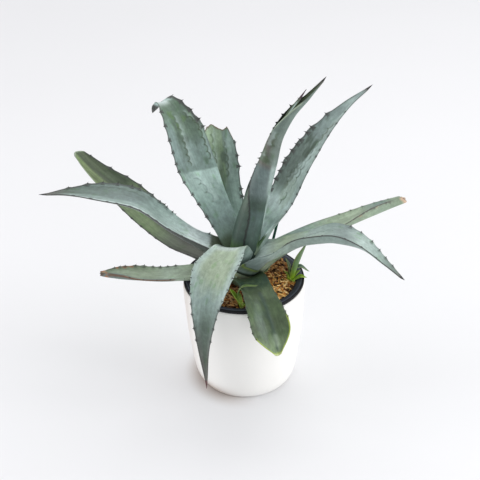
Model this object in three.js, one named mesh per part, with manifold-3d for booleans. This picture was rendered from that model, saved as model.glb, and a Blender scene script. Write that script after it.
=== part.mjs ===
// Potted century plant: a rosette of thick, toothed, spine-tipped leaves in a black nursery pot
// that hangs by its lip in a white ceramic pot. Millimetres, +Z up. The pots' axis is Z and the
// white pot's foot stands on Z = 0. +Y points to the back of the plant.
import * as THREE from "three";
import { mergeVertices } from "three/addons/utils/BufferGeometryUtils.js";
import ManifoldModule from "manifold-3d";

// Driving dimensions, in millimetres and degrees.
const POT_HEIGHT = 178; // white pot, foot to rim
const POT_FOOT_RADIUS = 70;
const POT_RIM_RADIUS = 95;
const LIP_TOP = 183.5; // crest of the nursery pot's lip
const LIP_RADIUS = 94;
const LIP_INNER_RADIUS = 81.5;
const MIX_TOP = 177; // level of the potting mix
const MIX_RADIUS = 79.6; // at its level
const NURSERY_FLOOR = 20; // underside of the nursery pot's floor
const NURSERY_INSIDE = 22.4; // and its upper side
const STEM_RADIUS = 20;
const STEM_FOOT = 150; // bottom of the hole that the stem stands in
const STEM_SHOULDER = 196; // the stem tapers above this
const STEM_TOP = 221;
const STEM_TOP_RADIUS = 17;
const STEM_STEPS = 20;
const CHIP_COUNT = 46;
const CHIP_RING = 74; // chips lie within this radius
const PUP_RADIUS = 4; // of a young shoot's short base
const PUP_DEPTH = 12; // of the hole that it stands in
const STAKE_RADIUS = 2.2;
const STAKE_LENGTH = 138;
const STAKE_LEAN = 20; // degrees off upright
const STAKE_AZIMUTH = 44;
const STAKE_FOOT = [35, 50, 160];
const HOLE_ROOM = 0.5; // between a foot and the wall of its hole
const HOLE_TOP = MIX_TOP + 12; // holes are cut up to here, above the tallest chip
const GAP = 0.3; // clearance between neighbouring pieces
const CLEAR_LEVEL = LIP_TOP + 0.6; // leaves stay above this over the pot's mouth
const CLEAR_DEPTH = 64; // and are cut back this far below it
const TOOTH_LENGTH = 3.6;
const TOOTH_SPREAD = 1.2; // half of its foot, in tooth lengths
const TOOTH_ROOT = 0.6; // depth of its root in the blade, in tooth lengths
const TOOTH_THICKNESS = 0.8;
const MARGIN_THICKNESS = 1; // of a leaf at its edge
const LEAST_HALF_WIDTH = 0.9; // of a leaf near its tip
const ROUND_STEPS = 44; // facets round the pots
const STATION_STEPS = 2; // rings from one station of a leaf to the next
const SEED = 20731;

const wasm = await ManifoldModule();
wasm.setup();
const { Manifold, Mesh } = wasm;

const COLOURS = {
  bloomLeaf: new THREE.Color(0x93a9a2),
  greenLeaf: new THREE.Color(0x6d8569),
  budLeaf: new THREE.Color(0x7b948f),
  pup: new THREE.Color(0x6fa02c),
  stem: new THREE.Color(0x9aa86e),
  whiteCeramic: new THREE.Color(0xf0eeea),
  blackPlastic: new THREE.Color(0x1b1c1f),
  barkMix: new THREE.Color(0x9a6233),
  stakeGreen: new THREE.Color(0x06402f),
};

// Each station of a leaf, from its root to its tip:
// [reach from the axis, height, sideways drift, half width, roll, curl of the gutter].
// The azimuth is counter-clockwise from +X, seen from above. The curl is the turn of the
// cross-section's arc from midrib to margin. The first leaf named is the innermost one.
const LEAVES = {
  leaf_right_tall: {
    azimuth: 38,
    stations: [
      [10, 226, 0, 26, 0, 40],
      [44, 259, 1, 23, -1, 32],
      [82, 288, 3, 27, -2, 28],
      [119, 339, 6, 27, -2, 28],
      [167, 380, 5, 20, -2, 28],
      [214, 408, 3, 9, -2, 30],
      [253, 425, 0, 2, -1, 30],
    ],
    tip: 13,
  },
  leaf_left_tall: {
    azimuth: 125,
    stations: [
      [8, 222, -2, 26, 0, 40],
      [40, 256, 4, 22, 0, 30],
      [74, 294, 9, 27, -1, 25],
      [110, 328, 9, 33, -4, 25],
      [145, 381, 6, 32, -4, 25],
      [185, 414, 7, 19, -4, 25],
      [212, 403, 7, 6, -4, 30],
      [220, 393, 7, 3, -4, 30],
    ],
    tip: 9,
  },
  leaf_left_arching: {
    azimuth: 172,
    stations: [
      [12, 222, 0, 24, 2, 40],
      [66, 245, 0, 19, 5, 25],
      [111, 273, 0, 25, 2, 25],
      [158, 307, 0, 27, 0, 25],
      [215, 319, 0, 23, -5, 25],
      [264, 320, 0, 11, -5, 25],
      [300, 315, 0, 2, -3, 25],
    ],
    tip: 14,
  },
  leaf_front_drooping: {
    azimuth: -116,
    stations: [
      [8, 226, -2, 22, 3, 30],
      [39, 260, -1, 25, 6, 17],
      [72, 259, 1, 30, 5, 17],
      [104, 248, 0, 31, 1, 17],
      [125, 207, -2, 22, -2, 20],
      [136, 145, -2, 10, -2, 30],
      [140, 86, 1, 2, -1, 40],
    ],
    tip: 20,
    toothScale: 0.6,
  },
  leaf_right_arching: {
    azimuth: -14,
    broadRoot: true,
    stations: [
      [6, 204, 0, 31, 4, 40],
      [24, 233, 0, 33, 10, 34],
      [56, 244, 0, 22, 4, 25],
      [98, 265, 0, 20, -6, 25],
      [139, 280, 0, 22, 0, 25],
      [180, 268, -1, 19, 2, 25],
      [217, 237, -1, 9, 4, 25],
      [242, 214, 0, 2, 3, 25],
    ],
    tip: 7,
  },
  leaf_right_straight: {
    azimuth: 13,
    stations: [
      [12, 200, 0, 22, 4, 40],
      [65, 225, -1, 20, 2, 39],
      [114, 243, -2, 21, -1, 39],
      [160, 256, -2, 20, -9, 39],
      [207, 272, 0, 16, -22, 39],
      [257, 283, 1, 9, -26, 39],
    ],
    cutEnd: [-6, -2, 1, 2, 1, 0, -3],
  },
  leaf_back_cut: {
    azimuth: 102,
    stations: [
      [10, 190, 0, 24, 0, 40],
      [58, 226, 0, 22, 0, 36],
      [94, 273, 5, 25, 0, 33],
      [124, 327, 8, 26, 0, 33],
      [148, 371, 7, 22, 0, 33],
    ],
    cutEnd: [-13, -2, -3, 1, 6, 8, -3],
  },
  leaf_left_blunt: {
    azimuth: 148,
    green: true,
    stations: [
      [12, 190, 0, 24, 0, 30],
      [65, 204, 0, 25, -2, 28],
      [120, 214, 1, 30, -5, 28],
      [174, 240, 1, 33, -6, 28],
      [224, 271, 1, 30, -4, 28],
      [271, 295, 1, 22, 0, 28],
      [312, 322, 2, 9, 4, 20],
    ],
    cutEnd: [-9, -3, 1, 3, 2, -2, -6],
  },
  leaf_left_low: {
    azimuth: 184,
    stations: [
      [12, 192, 0, 20, 0, 22],
      [55, 196, 0, 20, -1, 22],
      [96, 197, 0, 19, -1, 22],
      [131, 197, 0, 18, -1, 22],
      [165, 202, 0, 17, -4, 22],
      [193, 209, 1, 9, -4, 22],
      [215, 209, 1, 2, -2, 22],
    ],
    tip: 7,
  },
  leaf_front_cut: {
    azimuth: -72,
    green: true,
    stations: [
      [10, 194, -2, 26, 0, 30],
      [51, 206, -4, 23, 1, 24],
      [84, 206, -6, 23, 1, 22],
      [110, 190, -4, 28, 0, 22],
      [130, 164, -1, 27, -3, 22],
      [147, 142, -2, 11, -7, 20],
    ],
    cutEnd: [-8, -3, 1, 2, 1, -3, -9],
  },
};

// The rolled bud's outer leaf wraps round the spindle, so its stations lie on the bud's own line.
// [reach, height, side, radius inside the roll, thickness at the midrib, curl].
const BUD_AZIMUTH = 32;
const BUD_OUTER = [
  [-4, 224, 0, 19.5, 5.5, 122],
  [3, 258, 0, 19.2, 5, 126],
  [15, 294, 0, 18, 4.5, 134],
  [30, 332, 0, 15, 4, 150],
  [47, 369, 0, 11.8, 3.6, 158],
  [64, 406, 0, 9.8, 3.2, 150],
  [88, 436, 0, 7.6, 2.8, 118],
  [118, 456, 0, 4.4, 2.2, 96],
  [143, 474, 0, 1.6, 1.4, 70],
];
const BUD_OUTER_TIP = 10;
// [reach, height, radius] of the spindle inside, whose tip stands out of the roll.
const BUD_INNER = [
  [-4, 224, 18.6],
  [3, 258, 18.4],
  [15, 294, 17.2],
  [30, 332, 14.2],
  [47, 369, 10.9],
  [64, 407, 7.6],
  [85, 437, 3.8],
  [106, 459, 1.3],
];
const BUD_INNER_TIP = 13;
const SPINDLE_SIDES = 14;

// Midrib thickness along a leaf, from root to tip, at even steps.
const THICKNESS = [18, 12, 8.5, 7, 5.5, 4, 2.4];
const BROAD_ROOT = [18, 22, 14, 10, 8, 6, 4, 2.4];

const seeded = (seed) => {
  let state = seed >>> 0;
  return () => {
    state = (Math.imul(state, 1664525) + 1013904223) >>> 0;
    return state / 4294967296;
  };
};

const radians = (degrees) => (degrees * Math.PI) / 180;

// Smooth curve through evenly stepped values, at t in 0 .. values.length - 1.
function through(values, t) {
  const last = values.length - 1;
  const i = Math.min(Math.floor(t), last - 1);
  const f = t - i;
  const b = values[i];
  const c = values[i + 1];
  const a = i > 0 ? values[i - 1] : 2 * b - c;
  const d = i + 2 <= last ? values[i + 2] : 2 * c - b;
  const cubic = 3 * b - a - 3 * c + d;
  const square = 2 * a - 5 * b + 4 * c - d;
  return 0.5 * (2 * b + (c - a) * f + square * f * f + cubic * f * f * f);
}

const column = (rows, index) => rows.map((row) => row[index]);

const smoothLine = (points) => new THREE.CatmullRomCurve3(points, false, "catmullrom", 0.5);

// The line of a leaf: its stations' reach, height and drift in the upright plane at its azimuth.
function leafLine(rows, azimuth) {
  const turn = new THREE.Matrix4().makeRotationZ(radians(azimuth));
  return smoothLine(
    rows.map(([reach, height, drift]) => new THREE.Vector3(reach, drift, height).applyMatrix4(turn)),
  );
}

// Place, heading and crosswise frame of a line at t stations from its root.
function frameAt(line, azimuth, t, roll) {
  const last = line.points.length - 1;
  const heading = line.getTangent(t / last);
  const angle = radians(azimuth);
  const sideways = new THREE.Vector3(-Math.sin(angle), Math.cos(angle), 0);
  const level = sideways.addScaledVector(heading, -sideways.dot(heading)).normalize();
  const upper = new THREE.Vector3().crossVectors(heading, level);
  const across = level.clone().multiplyScalar(Math.cos(roll)).addScaledVector(upper, Math.sin(roll));
  const normal = upper.multiplyScalar(Math.cos(roll)).addScaledVector(level, -Math.sin(roll));
  return { centre: line.getPoint(t / last), heading, across, normal };
}

// A closed geometry as a solid that can be joined and cut.
function solidOf(geometry) {
  geometry.deleteAttribute("normal");
  geometry.deleteAttribute("uv");
  const merged = mergeVertices(geometry, 1e-4);
  return new Manifold(
    new Mesh({
      numProp: 3,
      vertProperties: merged.attributes.position.array,
      triVerts: new Uint32Array(merged.index.array),
    }),
  );
}

function solidFrom(points, faces) {
  const geometry = new THREE.BufferGeometry().setFromPoints(points);
  geometry.setIndex(faces.flat());
  return solidOf(geometry);
}

// Closed blade from matching rows of upper and lower points, with an apex or a plain end.
function bladeSolid(upper, lower, apex) {
  const rings = upper.length;
  const width = upper[0].length;
  const points = [...upper.flat(), ...lower.flat()];
  const up = (i, j) => i * width + j;
  const low = (i, j) => (rings + i) * width + j;
  const faces = [];
  const right = width - 1;
  for (let i = 0; i + 1 < rings; i++) {
    for (let j = 0; j < right; j++) {
      faces.push([up(i, j), up(i + 1, j), up(i + 1, j + 1)]);
      faces.push([up(i, j), up(i + 1, j + 1), up(i, j + 1)]);
      faces.push([low(i, j), low(i + 1, j + 1), low(i + 1, j)]);
      faces.push([low(i, j), low(i, j + 1), low(i + 1, j + 1)]);
    }
    faces.push([low(i, right), up(i, right), up(i + 1, right)]);
    faces.push([low(i, right), up(i + 1, right), low(i + 1, right)]);
    faces.push([low(i, 0), up(i + 1, 0), up(i, 0)]);
    faces.push([low(i, 0), low(i + 1, 0), up(i + 1, 0)]);
  }
  const end = rings - 1;
  const tip = points.length;
  for (let j = 0; j < right; j++) {
    faces.push([low(0, j), up(0, j), up(0, j + 1)]);
    faces.push([low(0, j), up(0, j + 1), low(0, j + 1)]);
    if (apex) {
      faces.push([up(end, j), tip, up(end, j + 1)]);
      faces.push([low(end, j), low(end, j + 1), tip]);
    } else {
      faces.push([low(end, j), up(end, j + 1), up(end, j)]);
      faces.push([low(end, j), low(end, j + 1), up(end, j + 1)]);
    }
  }
  if (apex) {
    faces.push([low(end, right), up(end, right), tip]);
    faces.push([up(end, 0), low(end, 0), tip]);
    points.push(apex);
  }
  return solidFrom(points, faces);
}

// Cross-section of a leaf at t: an arc of half length `half` that turns by `curl` to each margin.
function sectionAt(leaf, t, grow) {
  const { line, azimuth, across } = leaf;
  const frame = frameAt(line, azimuth, t, radians(leaf.roll(t)));
  const curl = radians(leaf.curl(t));
  const half = Math.max(leaf.half(t), LEAST_HALF_WIDTH);
  const radius = half / curl;
  const middle = leaf.onRoll
    ? frame.centre
    : frame.centre.clone().addScaledVector(frame.normal, radius);
  const thick = leaf.thick(t);
  const reachAngle = curl * ((half + grow) / half);
  const upper = [];
  const lower = [];
  for (let j = 0; j <= across; j++) {
    const u = -1 + (2 * j) / across;
    const angle = reachAngle * u;
    const away = frame.across
      .clone()
      .multiplyScalar(Math.sin(angle))
      .addScaledVector(frame.normal, -Math.cos(angle));
    const belly = 1 - Math.abs(u) ** 1.8;
    const margin = Math.min(MARGIN_THICKNESS, thick);
    const depth = margin + (thick - margin) * belly;
    upper.push(middle.clone().addScaledVector(away, radius - grow));
    lower.push(middle.clone().addScaledVector(away, radius + depth + grow));
  }
  return { frame, curl, middle, radius, upper, lower, thick };
}

function bladeOf(leaf, grow) {
  const last = leaf.line.points.length - 1;
  const upper = [];
  const lower = [];
  const count = last * leaf.steps;
  for (let i = 0; i <= count; i++) {
    const section = sectionAt(leaf, (last * i) / count, grow);
    upper.push(section.upper);
    lower.push(section.lower);
  }
  const end = sectionAt(leaf, last, grow);
  if (leaf.cutEnd) {
    leaf.cutEnd.forEach((shift, j) => {
      upper.at(-1)[j].addScaledVector(end.frame.heading, shift + grow);
      lower.at(-1)[j].addScaledVector(end.frame.heading, shift + grow);
    });
    return bladeSolid(upper, lower, null);
  }
  const apex = end.frame.centre.clone();
  apex.addScaledVector(end.frame.heading, leaf.tip + grow);
  return bladeSolid(upper, lower, apex);
}

// Three-sided tooth: a low mound on the margin that ends in a point, rooted inside the blade.
function toothAt(leaf, t, side, size, lean, grow) {
  const section = sectionAt(leaf, t, 0);
  const { heading, across, normal } = section.frame;
  const angle = section.curl * side;
  const edge = side > 0 ? section.upper.at(-1) : section.upper[0];
  const out = across.clone().multiplyScalar(Math.cos(angle)).addScaledVector(normal, Math.sin(angle));
  out.multiplyScalar(side);
  const flat = new THREE.Vector3().crossVectors(heading, out);
  const sunk = TOOTH_ROOT * size;
  const length = size + sunk + 2 * grow;
  const point = out.clone().multiplyScalar(length).addScaledVector(heading, lean * size);
  const centre = edge.clone().addScaledVector(out, -sunk - grow).addScaledVector(point, 0.5);
  centre.addScaledVector(flat, -0.3 * MARGIN_THICKNESS * side);
  const cone = new THREE.ConeGeometry(1, 1, 3, 1, false, Math.PI / 6);
  const pose = new THREE.Matrix4().makeBasis(
    heading.clone().multiplyScalar(TOOTH_SPREAD * size + grow),
    point,
    flat.multiplyScalar(TOOTH_THICKNESS + grow),
  );
  cone.applyMatrix4(pose.setPosition(centre));
  return solidOf(cone);
}

// Teeth at uneven steps along both margins, between the leaf's shoulder and its tip.
function teethOf(leaf, grow) {
  const random = seeded(leaf.seed);
  const last = leaf.line.points.length - 1;
  const stepsPerStation = 40 / leaf.toothPitch;
  const teeth = [];
  for (const side of [-1, 1]) {
    let t = leaf.toothFrom + 0.2 * random();
    while (t < last - leaf.toothEnd) {
      const size = TOOTH_LENGTH * (0.75 + 0.45 * random()) * leaf.toothScale;
      const lean = -0.35 + 0.5 * random();
      teeth.push(toothAt(leaf, t, side, size, lean, grow));
      t += (0.7 + 0.6 * random()) / stepsPerStation;
    }
  }
  return teeth;
}

// Complete description of an open leaf from its short record.
function openLeaf(record, index) {
  const rows = record.stations;
  const last = rows.length - 1;
  const thickness = record.broadRoot ? BROAD_ROOT : THICKNESS;
  return {
    line: leafLine(rows, record.azimuth),
    azimuth: record.azimuth,
    across: 6,
    steps: STATION_STEPS,
    half: (t) => {
      const curl = radians(through(column(rows, 5), t));
      return (through(column(rows, 3), t) * curl) / Math.sin(curl);
    },
    roll: (t) => through(column(rows, 4), t),
    curl: (t) => through(column(rows, 5), t),
    thick: (t) => through(thickness, (t / last) * (thickness.length - 1)),
    tip: record.tip,
    cutEnd: record.cutEnd,
    seed: SEED + 17 * index,
    toothPitch: 19,
    toothFrom: 0.9,
    toothEnd: record.cutEnd ? 0.25 : 0.7,
    toothScale: record.toothScale ?? 0.85,
  };
}

function budOuterLeaf() {
  const rows = BUD_OUTER;
  const curl = (t) => through(column(rows, 5), t);
  return {
    line: leafLine(rows, BUD_AZIMUTH),
    azimuth: BUD_AZIMUTH,
    across: 10,
    steps: STATION_STEPS,
    onRoll: true,
    half: (t) => through(column(rows, 3), t) * radians(curl(t)),
    roll: () => 0,
    curl,
    thick: (t) => through(column(rows, 4), t),
    tip: BUD_OUTER_TIP,
    seed: SEED + 5,
    toothPitch: 16,
    toothFrom: 1,
    toothEnd: 1.2,
    toothScale: 1,
  };
}

// Round tapering spindle along the bud's line, with a flat foot and a point.
function spindleSolid(grow) {
  const line = leafLine(BUD_INNER.map(([reach, height]) => [reach, height, 0]), BUD_AZIMUTH);
  const last = BUD_INNER.length - 1;
  const count = last * STATION_STEPS;
  const points = [];
  const faces = [];
  for (let i = 0; i <= count; i++) {
    const t = (last * i) / count;
    const { centre, across, normal } = frameAt(line, BUD_AZIMUTH, t, 0);
    const radius = through(column(BUD_INNER, 2), t) + grow;
    for (let j = 0; j < SPINDLE_SIDES; j++) {
      const angle = (2 * Math.PI * j) / SPINDLE_SIDES;
      const spoke = across.clone().multiplyScalar(radius * Math.cos(angle));
      points.push(spoke.addScaledVector(normal, radius * Math.sin(angle)).add(centre));
    }
  }
  const at = (i, j) => i * SPINDLE_SIDES + (j % SPINDLE_SIDES);
  for (let i = 0; i < count; i++) {
    for (let j = 0; j < SPINDLE_SIDES; j++) {
      faces.push([at(i, j), at(i, j + 1), at(i + 1, j + 1)]);
      faces.push([at(i, j), at(i + 1, j + 1), at(i + 1, j)]);
    }
  }
  const foot = line.getPoint(0).addScaledVector(line.getTangent(0), -grow);
  const tip = line.getPoint(1).addScaledVector(line.getTangent(1), BUD_INNER_TIP + grow);
  const first = points.length;
  points.push(foot, tip);
  for (let j = 0; j < SPINDLE_SIDES; j++) {
    faces.push([first, at(0, j + 1), at(0, j)]);
    faces.push([first + 1, at(count, j), at(count, j + 1)]);
  }
  return solidFrom(points, faces);
}

// Solid of revolution about Z from an outline of [radius, height] that runs from the foot's
// centre, up the outside and back to the axis.
function turned(outline, steps) {
  const profile = outline.map(([radius, height]) => new THREE.Vector2(radius, height));
  return solidOf(new THREE.LatheGeometry(profile, steps).rotateX(Math.PI / 2));
}

const cylinderSolid = (radius, low, high, steps) =>
  turned([[0, low], [radius, low], [radius, high], [0, high]], steps);

// White ceramic pot: rounded foot, gently widening wall, soft rim.
function whitePot() {
  return turned(
    [
      [0, 0],
      [POT_FOOT_RADIUS, 0],
      [75, 4.5],
      [79.5, 14],
      [83, 30],
      [87, 60],
      [90.5, 90],
      [92.7, 120],
      [94.2, 150],
      [POT_RIM_RADIUS, 170],
      [94.6, 175.2],
      [93, POT_HEIGHT],
      [91, POT_HEIGHT],
      [89.6, 175.6],
      [87, 120],
      [81.2, 60],
      [77.2, 30],
      [70, 10],
      [0, 8],
    ],
    ROUND_STEPS,
  );
}

// Black nursery pot: thin wall and floor, broad sloping lip with a rolled outer drop.
function nurseryPot() {
  const seat = POT_HEIGHT + GAP;
  return turned(
    [
      [0, NURSERY_FLOOR],
      [64, NURSERY_FLOOR],
      [66, NURSERY_FLOOR + 2],
      [82.5, seat],
      [LIP_RADIUS - 0.3, seat],
      [LIP_RADIUS, 179.4],
      [LIP_RADIUS, 182.2],
      [92.8, LIP_TOP],
      [90.6, LIP_TOP - 0.6],
      [LIP_INNER_RADIUS + 1.5, 181.2],
      [LIP_INNER_RADIUS - 0.6, 179.6],
      [80.2, MIX_TOP],
      [63.6, NURSERY_INSIDE],
      [0, NURSERY_INSIDE],
    ],
    ROUND_STEPS,
  );
}

// Bark and coir mix: a lumpy top with tilted chips that stand out of it.
function pottingMix() {
  const random = seeded(SEED + 900);
  const foot = NURSERY_INSIDE + GAP;
  const profile = [[0, foot], [63.2, foot], [MIX_RADIUS, MIX_TOP - 0.6]];
  for (let i = 4; i >= 0; i--) profile.push([(MIX_RADIUS * i) / 5, MIX_TOP]);
  const points = profile.map(([radius, height]) => new THREE.Vector2(radius, height));
  const lathe = new THREE.LatheGeometry(points, 32).rotateX(Math.PI / 2);
  lathe.deleteAttribute("normal");
  lathe.deleteAttribute("uv");
  const body = mergeVertices(lathe, 1e-4);
  const place = body.attributes.position;
  for (let i = 0; i < place.count; i++) {
    if (place.getZ(i) > MIX_TOP - 0.1) place.setZ(i, MIX_TOP - 1 + 2.4 * random());
  }
  const chips = [];
  for (let k = 0; k < CHIP_COUNT; k++) chips.push(chipSolid(random));
  return Manifold.union([solidOf(body), ...chips]);
}

// One chip: a tapering three-sided splinter, half sunk and tilted.
function chipSolid(random) {
  const length = 6 + 7 * random();
  const width = 1.6 + 1.6 * random();
  const depth = 1.4 + 0.8 * random();
  const radius = CHIP_RING * Math.sqrt(0.06 + 0.94 * random());
  const bearing = 2 * Math.PI * random();
  const chip = new THREE.CylinderGeometry(0.7, 1, 1, 3);
  chip.scale(width, length, depth);
  chip.rotateX(radians(-22 + 44 * random()));
  chip.rotateZ(2 * Math.PI * random());
  const lift = MIX_TOP + 0.6 + 0.9 * random();
  chip.translate(radius * Math.cos(bearing), radius * Math.sin(bearing), lift);
  return solidOf(chip);
}

// Short stem that the leaf bases sit round; its foot stands in a hole in the mix.
const stemOutline = (grow) => [
  [0, STEM_FOOT + GAP - grow],
  [STEM_RADIUS + grow, STEM_FOOT + GAP - grow],
  [STEM_RADIUS + grow, STEM_SHOULDER],
  [STEM_TOP_RADIUS + grow, STEM_TOP + grow],
  [0, STEM_TOP + grow],
];

// Young shoots: narrow leaves fused to one short base. Each leaf's line is [reach, height] above
// the mix, and its half width is at the widest.
const PUP_RIGHT_PLACE = [73.5, -4];
const PUP_RIGHT_LEAVES = [
  { azimuth: -46, line: [[0, 0], [5, 20], [12, 44], [19, 66]], half: 4, curl: 50 },
  { azimuth: 0, line: [[0, 0], [4, 10], [9, 18], [15, 25]], half: 5, curl: 40 },
  { azimuth: -24, line: [[0, 0], [5, 6], [10, 10], [16, 12]], half: 3.4, curl: 40 },
  { azimuth: 160, line: [[0, 0], [3, 11], [8, 20], [13, 28]], half: 3.2, curl: 60 },
  { azimuth: -165, line: [[0, 0], [4, 9], [8, 16], [12, 22]], half: 3, curl: 40 },
];
const PUP_FRONT_PLACE = [-4, -72];
const PUP_FRONT_LEAVES = [
  { azimuth: 170, line: [[0, 0], [6, 14], [14, 24], [20, 31]], half: 2.6, curl: 50 },
  { azimuth: 0, line: [[0, 0], [-7, 20], [-7, 38], [12, 46]], half: 1.8, curl: 50 },
  { azimuth: -20, line: [[0, 0], [2, 4], [5, 7], [7, 10]], half: 2, curl: 50 },
];

function pupLeaf({ azimuth, line, half, curl }) {
  const rows = line.map(([reach, height]) => [reach, MIX_TOP - 1 + height, 0]);
  const widths = [0.8 * half, half, 0.85 * half, 0.9];
  return {
    line: leafLine(rows, azimuth),
    azimuth,
    across: 4,
    steps: 1,
    half: (t) => through(widths, t),
    roll: () => 0,
    curl: () => curl,
    thick: (t) => through([3, 2.2, 1.6, 1], t),
    tip: 3,
  };
}

function pupSolid(place, leaves) {
  const low = MIX_TOP - PUP_DEPTH + GAP;
  const base = turned(
    [[0, low], [PUP_RADIUS, low], [PUP_RADIUS, MIX_TOP + 1], [2.4, MIX_TOP + 7], [0, MIX_TOP + 8]],
    12,
  );
  const blades = leaves.map((leaf) => bladeOf(pupLeaf(leaf), 0));
  return Manifold.union([base, ...blades]).translate([place[0], place[1], 0]);
}

// Thin straight stake that leans away from the pot's axis.
function stakeSolid(grow) {
  const length = STAKE_LENGTH + 2 * grow;
  const rod = new THREE.CylinderGeometry(STAKE_RADIUS + grow, STAKE_RADIUS + grow, length, 10);
  rod.rotateX(Math.PI / 2).translate(0, 0, 0.5 * STAKE_LENGTH);
  rod.rotateY(radians(STAKE_LEAN)).rotateZ(radians(STAKE_AZIMUTH));
  return solidOf(rod.translate(...STAKE_FOOT));
}

// Hole that lets a round foot stand in the mix with a little room.
const footHole = (place, radius, depth) =>
  cylinderSolid(radius + HOLE_ROOM, MIX_TOP - depth, HOLE_TOP, 20).translate([...place, 0]);

const largest = (solid) =>
  solid.decompose().reduce((best, piece) => (piece.volume() > best.volume() ? piece : best));

const root = new THREE.Group();
const plant = new THREE.Group();
const pots = new THREE.Group();
root.name = "potted_century_plant";
plant.name = "plant";
pots.name = "pots";
root.add(plant, pots);

// Hangs a solid in its group as a mesh that stands at `place` and is turned by `turn` about Z.
function addPiece(group, name, solid, color, roughness, place = [0, 0, 0], turn = 0) {
  const mesh = new THREE.Mesh(
    new THREE.BufferGeometry(),
    new THREE.MeshStandardMaterial({ color, roughness, metalness: 0 }),
  );
  mesh.name = name;
  mesh.position.set(...place);
  mesh.rotation.z = radians(turn);
  mesh.updateMatrix();
  const made = solid.getMesh();
  mesh.geometry.setAttribute("position", new THREE.BufferAttribute(made.vertProperties, 3));
  mesh.geometry.setIndex(new THREE.BufferAttribute(made.triVerts, 1));
  mesh.geometry.applyMatrix4(mesh.matrix.clone().invert());
  mesh.geometry.computeVertexNormals();
  group.add(mesh);
}

// Leaf bases crowd round the stem, so each leaf is cut back to clear what lies further in.
function buildPlant() {
  const low = CLEAR_LEVEL - CLEAR_DEPTH;
  const mouth = cylinderSolid(LIP_RADIUS + 1, low, CLEAR_LEVEL, ROUND_STEPS);
  const taken = [turned(stemOutline(GAP), STEM_STEPS), mouth];
  const clearOf = (solid) => largest(solid.subtract(Manifold.union(taken)));

  const spindle = clearOf(spindleSolid(0));
  addPiece(plant, "bud_inner_leaf", spindle, COLOURS.budLeaf, 0.6, [0, 0, 0], BUD_AZIMUTH);
  taken.push(spindleSolid(GAP));

  const outer = budOuterLeaf();
  const outerLeaf = clearOf(Manifold.union([bladeOf(outer, 0), ...teethOf(outer, 0)]));
  addPiece(plant, "bud_outer_leaf", outerLeaf, COLOURS.bloomLeaf, 0.6, [0, 0, 0], BUD_AZIMUTH);
  taken.push(bladeOf(outer, GAP), ...teethOf(outer, GAP));

  Object.entries(LEAVES).forEach(([name, record], index) => {
    const leaf = openLeaf(record, index);
    const solid = clearOf(Manifold.union([bladeOf(leaf, 0), ...teethOf(leaf, 0)]));
    const colour = record.green ? COLOURS.greenLeaf : COLOURS.bloomLeaf;
    addPiece(plant, name, solid, colour, 0.6, [0, 0, 0], record.azimuth);
    taken.push(bladeOf(leaf, GAP), ...teethOf(leaf, GAP));
  });
  addPiece(plant, "stem", turned(stemOutline(0), STEM_STEPS), COLOURS.stem, 0.8);
}

function buildPots() {
  addPiece(pots, "white_pot", whitePot(), COLOURS.whiteCeramic, 0.25);
  addPiece(pots, "nursery_pot", nurseryPot(), COLOURS.blackPlastic, 0.55);
  const holes = [
    cylinderSolid(STEM_RADIUS + HOLE_ROOM, STEM_FOOT, HOLE_TOP, STEM_STEPS),
    footHole(PUP_RIGHT_PLACE, PUP_RADIUS, PUP_DEPTH),
    footHole(PUP_FRONT_PLACE, PUP_RADIUS, PUP_DEPTH),
    stakeSolid(HOLE_ROOM),
  ];
  const mix = pottingMix().subtract(Manifold.union(holes));
  addPiece(pots, "potting_mix", largest(mix), COLOURS.barkMix, 0.95);
  const right = pupSolid(PUP_RIGHT_PLACE, PUP_RIGHT_LEAVES);
  addPiece(plant, "pup_right", right, COLOURS.pup, 0.55, [...PUP_RIGHT_PLACE, 0]);
  const front = pupSolid(PUP_FRONT_PLACE, PUP_FRONT_LEAVES);
  addPiece(plant, "pup_front", front, COLOURS.pup, 0.55, [...PUP_FRONT_PLACE, 0]);
  addPiece(pots, "plant_stake", stakeSolid(0), COLOURS.stakeGreen, 0.5, STAKE_FOOT, STAKE_AZIMUTH);
}

buildPlant();
buildPots();

export default root;
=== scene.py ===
"""Looks of the potted century plant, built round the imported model. The frame is in metres, +Z up.

Lengths in this file are millimetres and are scaled where a mesh is made. A leaf is a grid of rings
from its root to its tip: t counts its stations, u runs across it from -1 to 1, and v and w are the
same two in millimetres.
"""

import math

import bpy
import numpy as np
from mathutils import Matrix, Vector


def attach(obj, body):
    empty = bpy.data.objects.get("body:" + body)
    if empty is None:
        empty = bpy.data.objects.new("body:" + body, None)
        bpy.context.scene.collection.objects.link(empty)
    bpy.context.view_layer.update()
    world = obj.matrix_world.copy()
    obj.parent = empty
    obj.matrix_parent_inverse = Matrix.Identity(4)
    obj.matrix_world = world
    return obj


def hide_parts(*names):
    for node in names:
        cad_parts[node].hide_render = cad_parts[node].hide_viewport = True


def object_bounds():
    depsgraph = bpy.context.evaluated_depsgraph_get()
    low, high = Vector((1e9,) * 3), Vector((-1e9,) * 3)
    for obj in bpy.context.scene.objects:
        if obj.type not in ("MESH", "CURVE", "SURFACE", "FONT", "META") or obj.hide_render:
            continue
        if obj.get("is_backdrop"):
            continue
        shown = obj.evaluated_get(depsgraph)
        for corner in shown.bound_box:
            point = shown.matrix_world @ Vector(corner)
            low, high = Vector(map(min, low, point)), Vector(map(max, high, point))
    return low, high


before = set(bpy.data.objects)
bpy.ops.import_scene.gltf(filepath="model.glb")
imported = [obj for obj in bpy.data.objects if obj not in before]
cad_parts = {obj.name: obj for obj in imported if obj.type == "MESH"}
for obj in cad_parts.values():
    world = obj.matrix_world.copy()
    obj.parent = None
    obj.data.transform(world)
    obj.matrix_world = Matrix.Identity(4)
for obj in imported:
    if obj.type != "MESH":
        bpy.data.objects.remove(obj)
CAD_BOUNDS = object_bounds()

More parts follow.
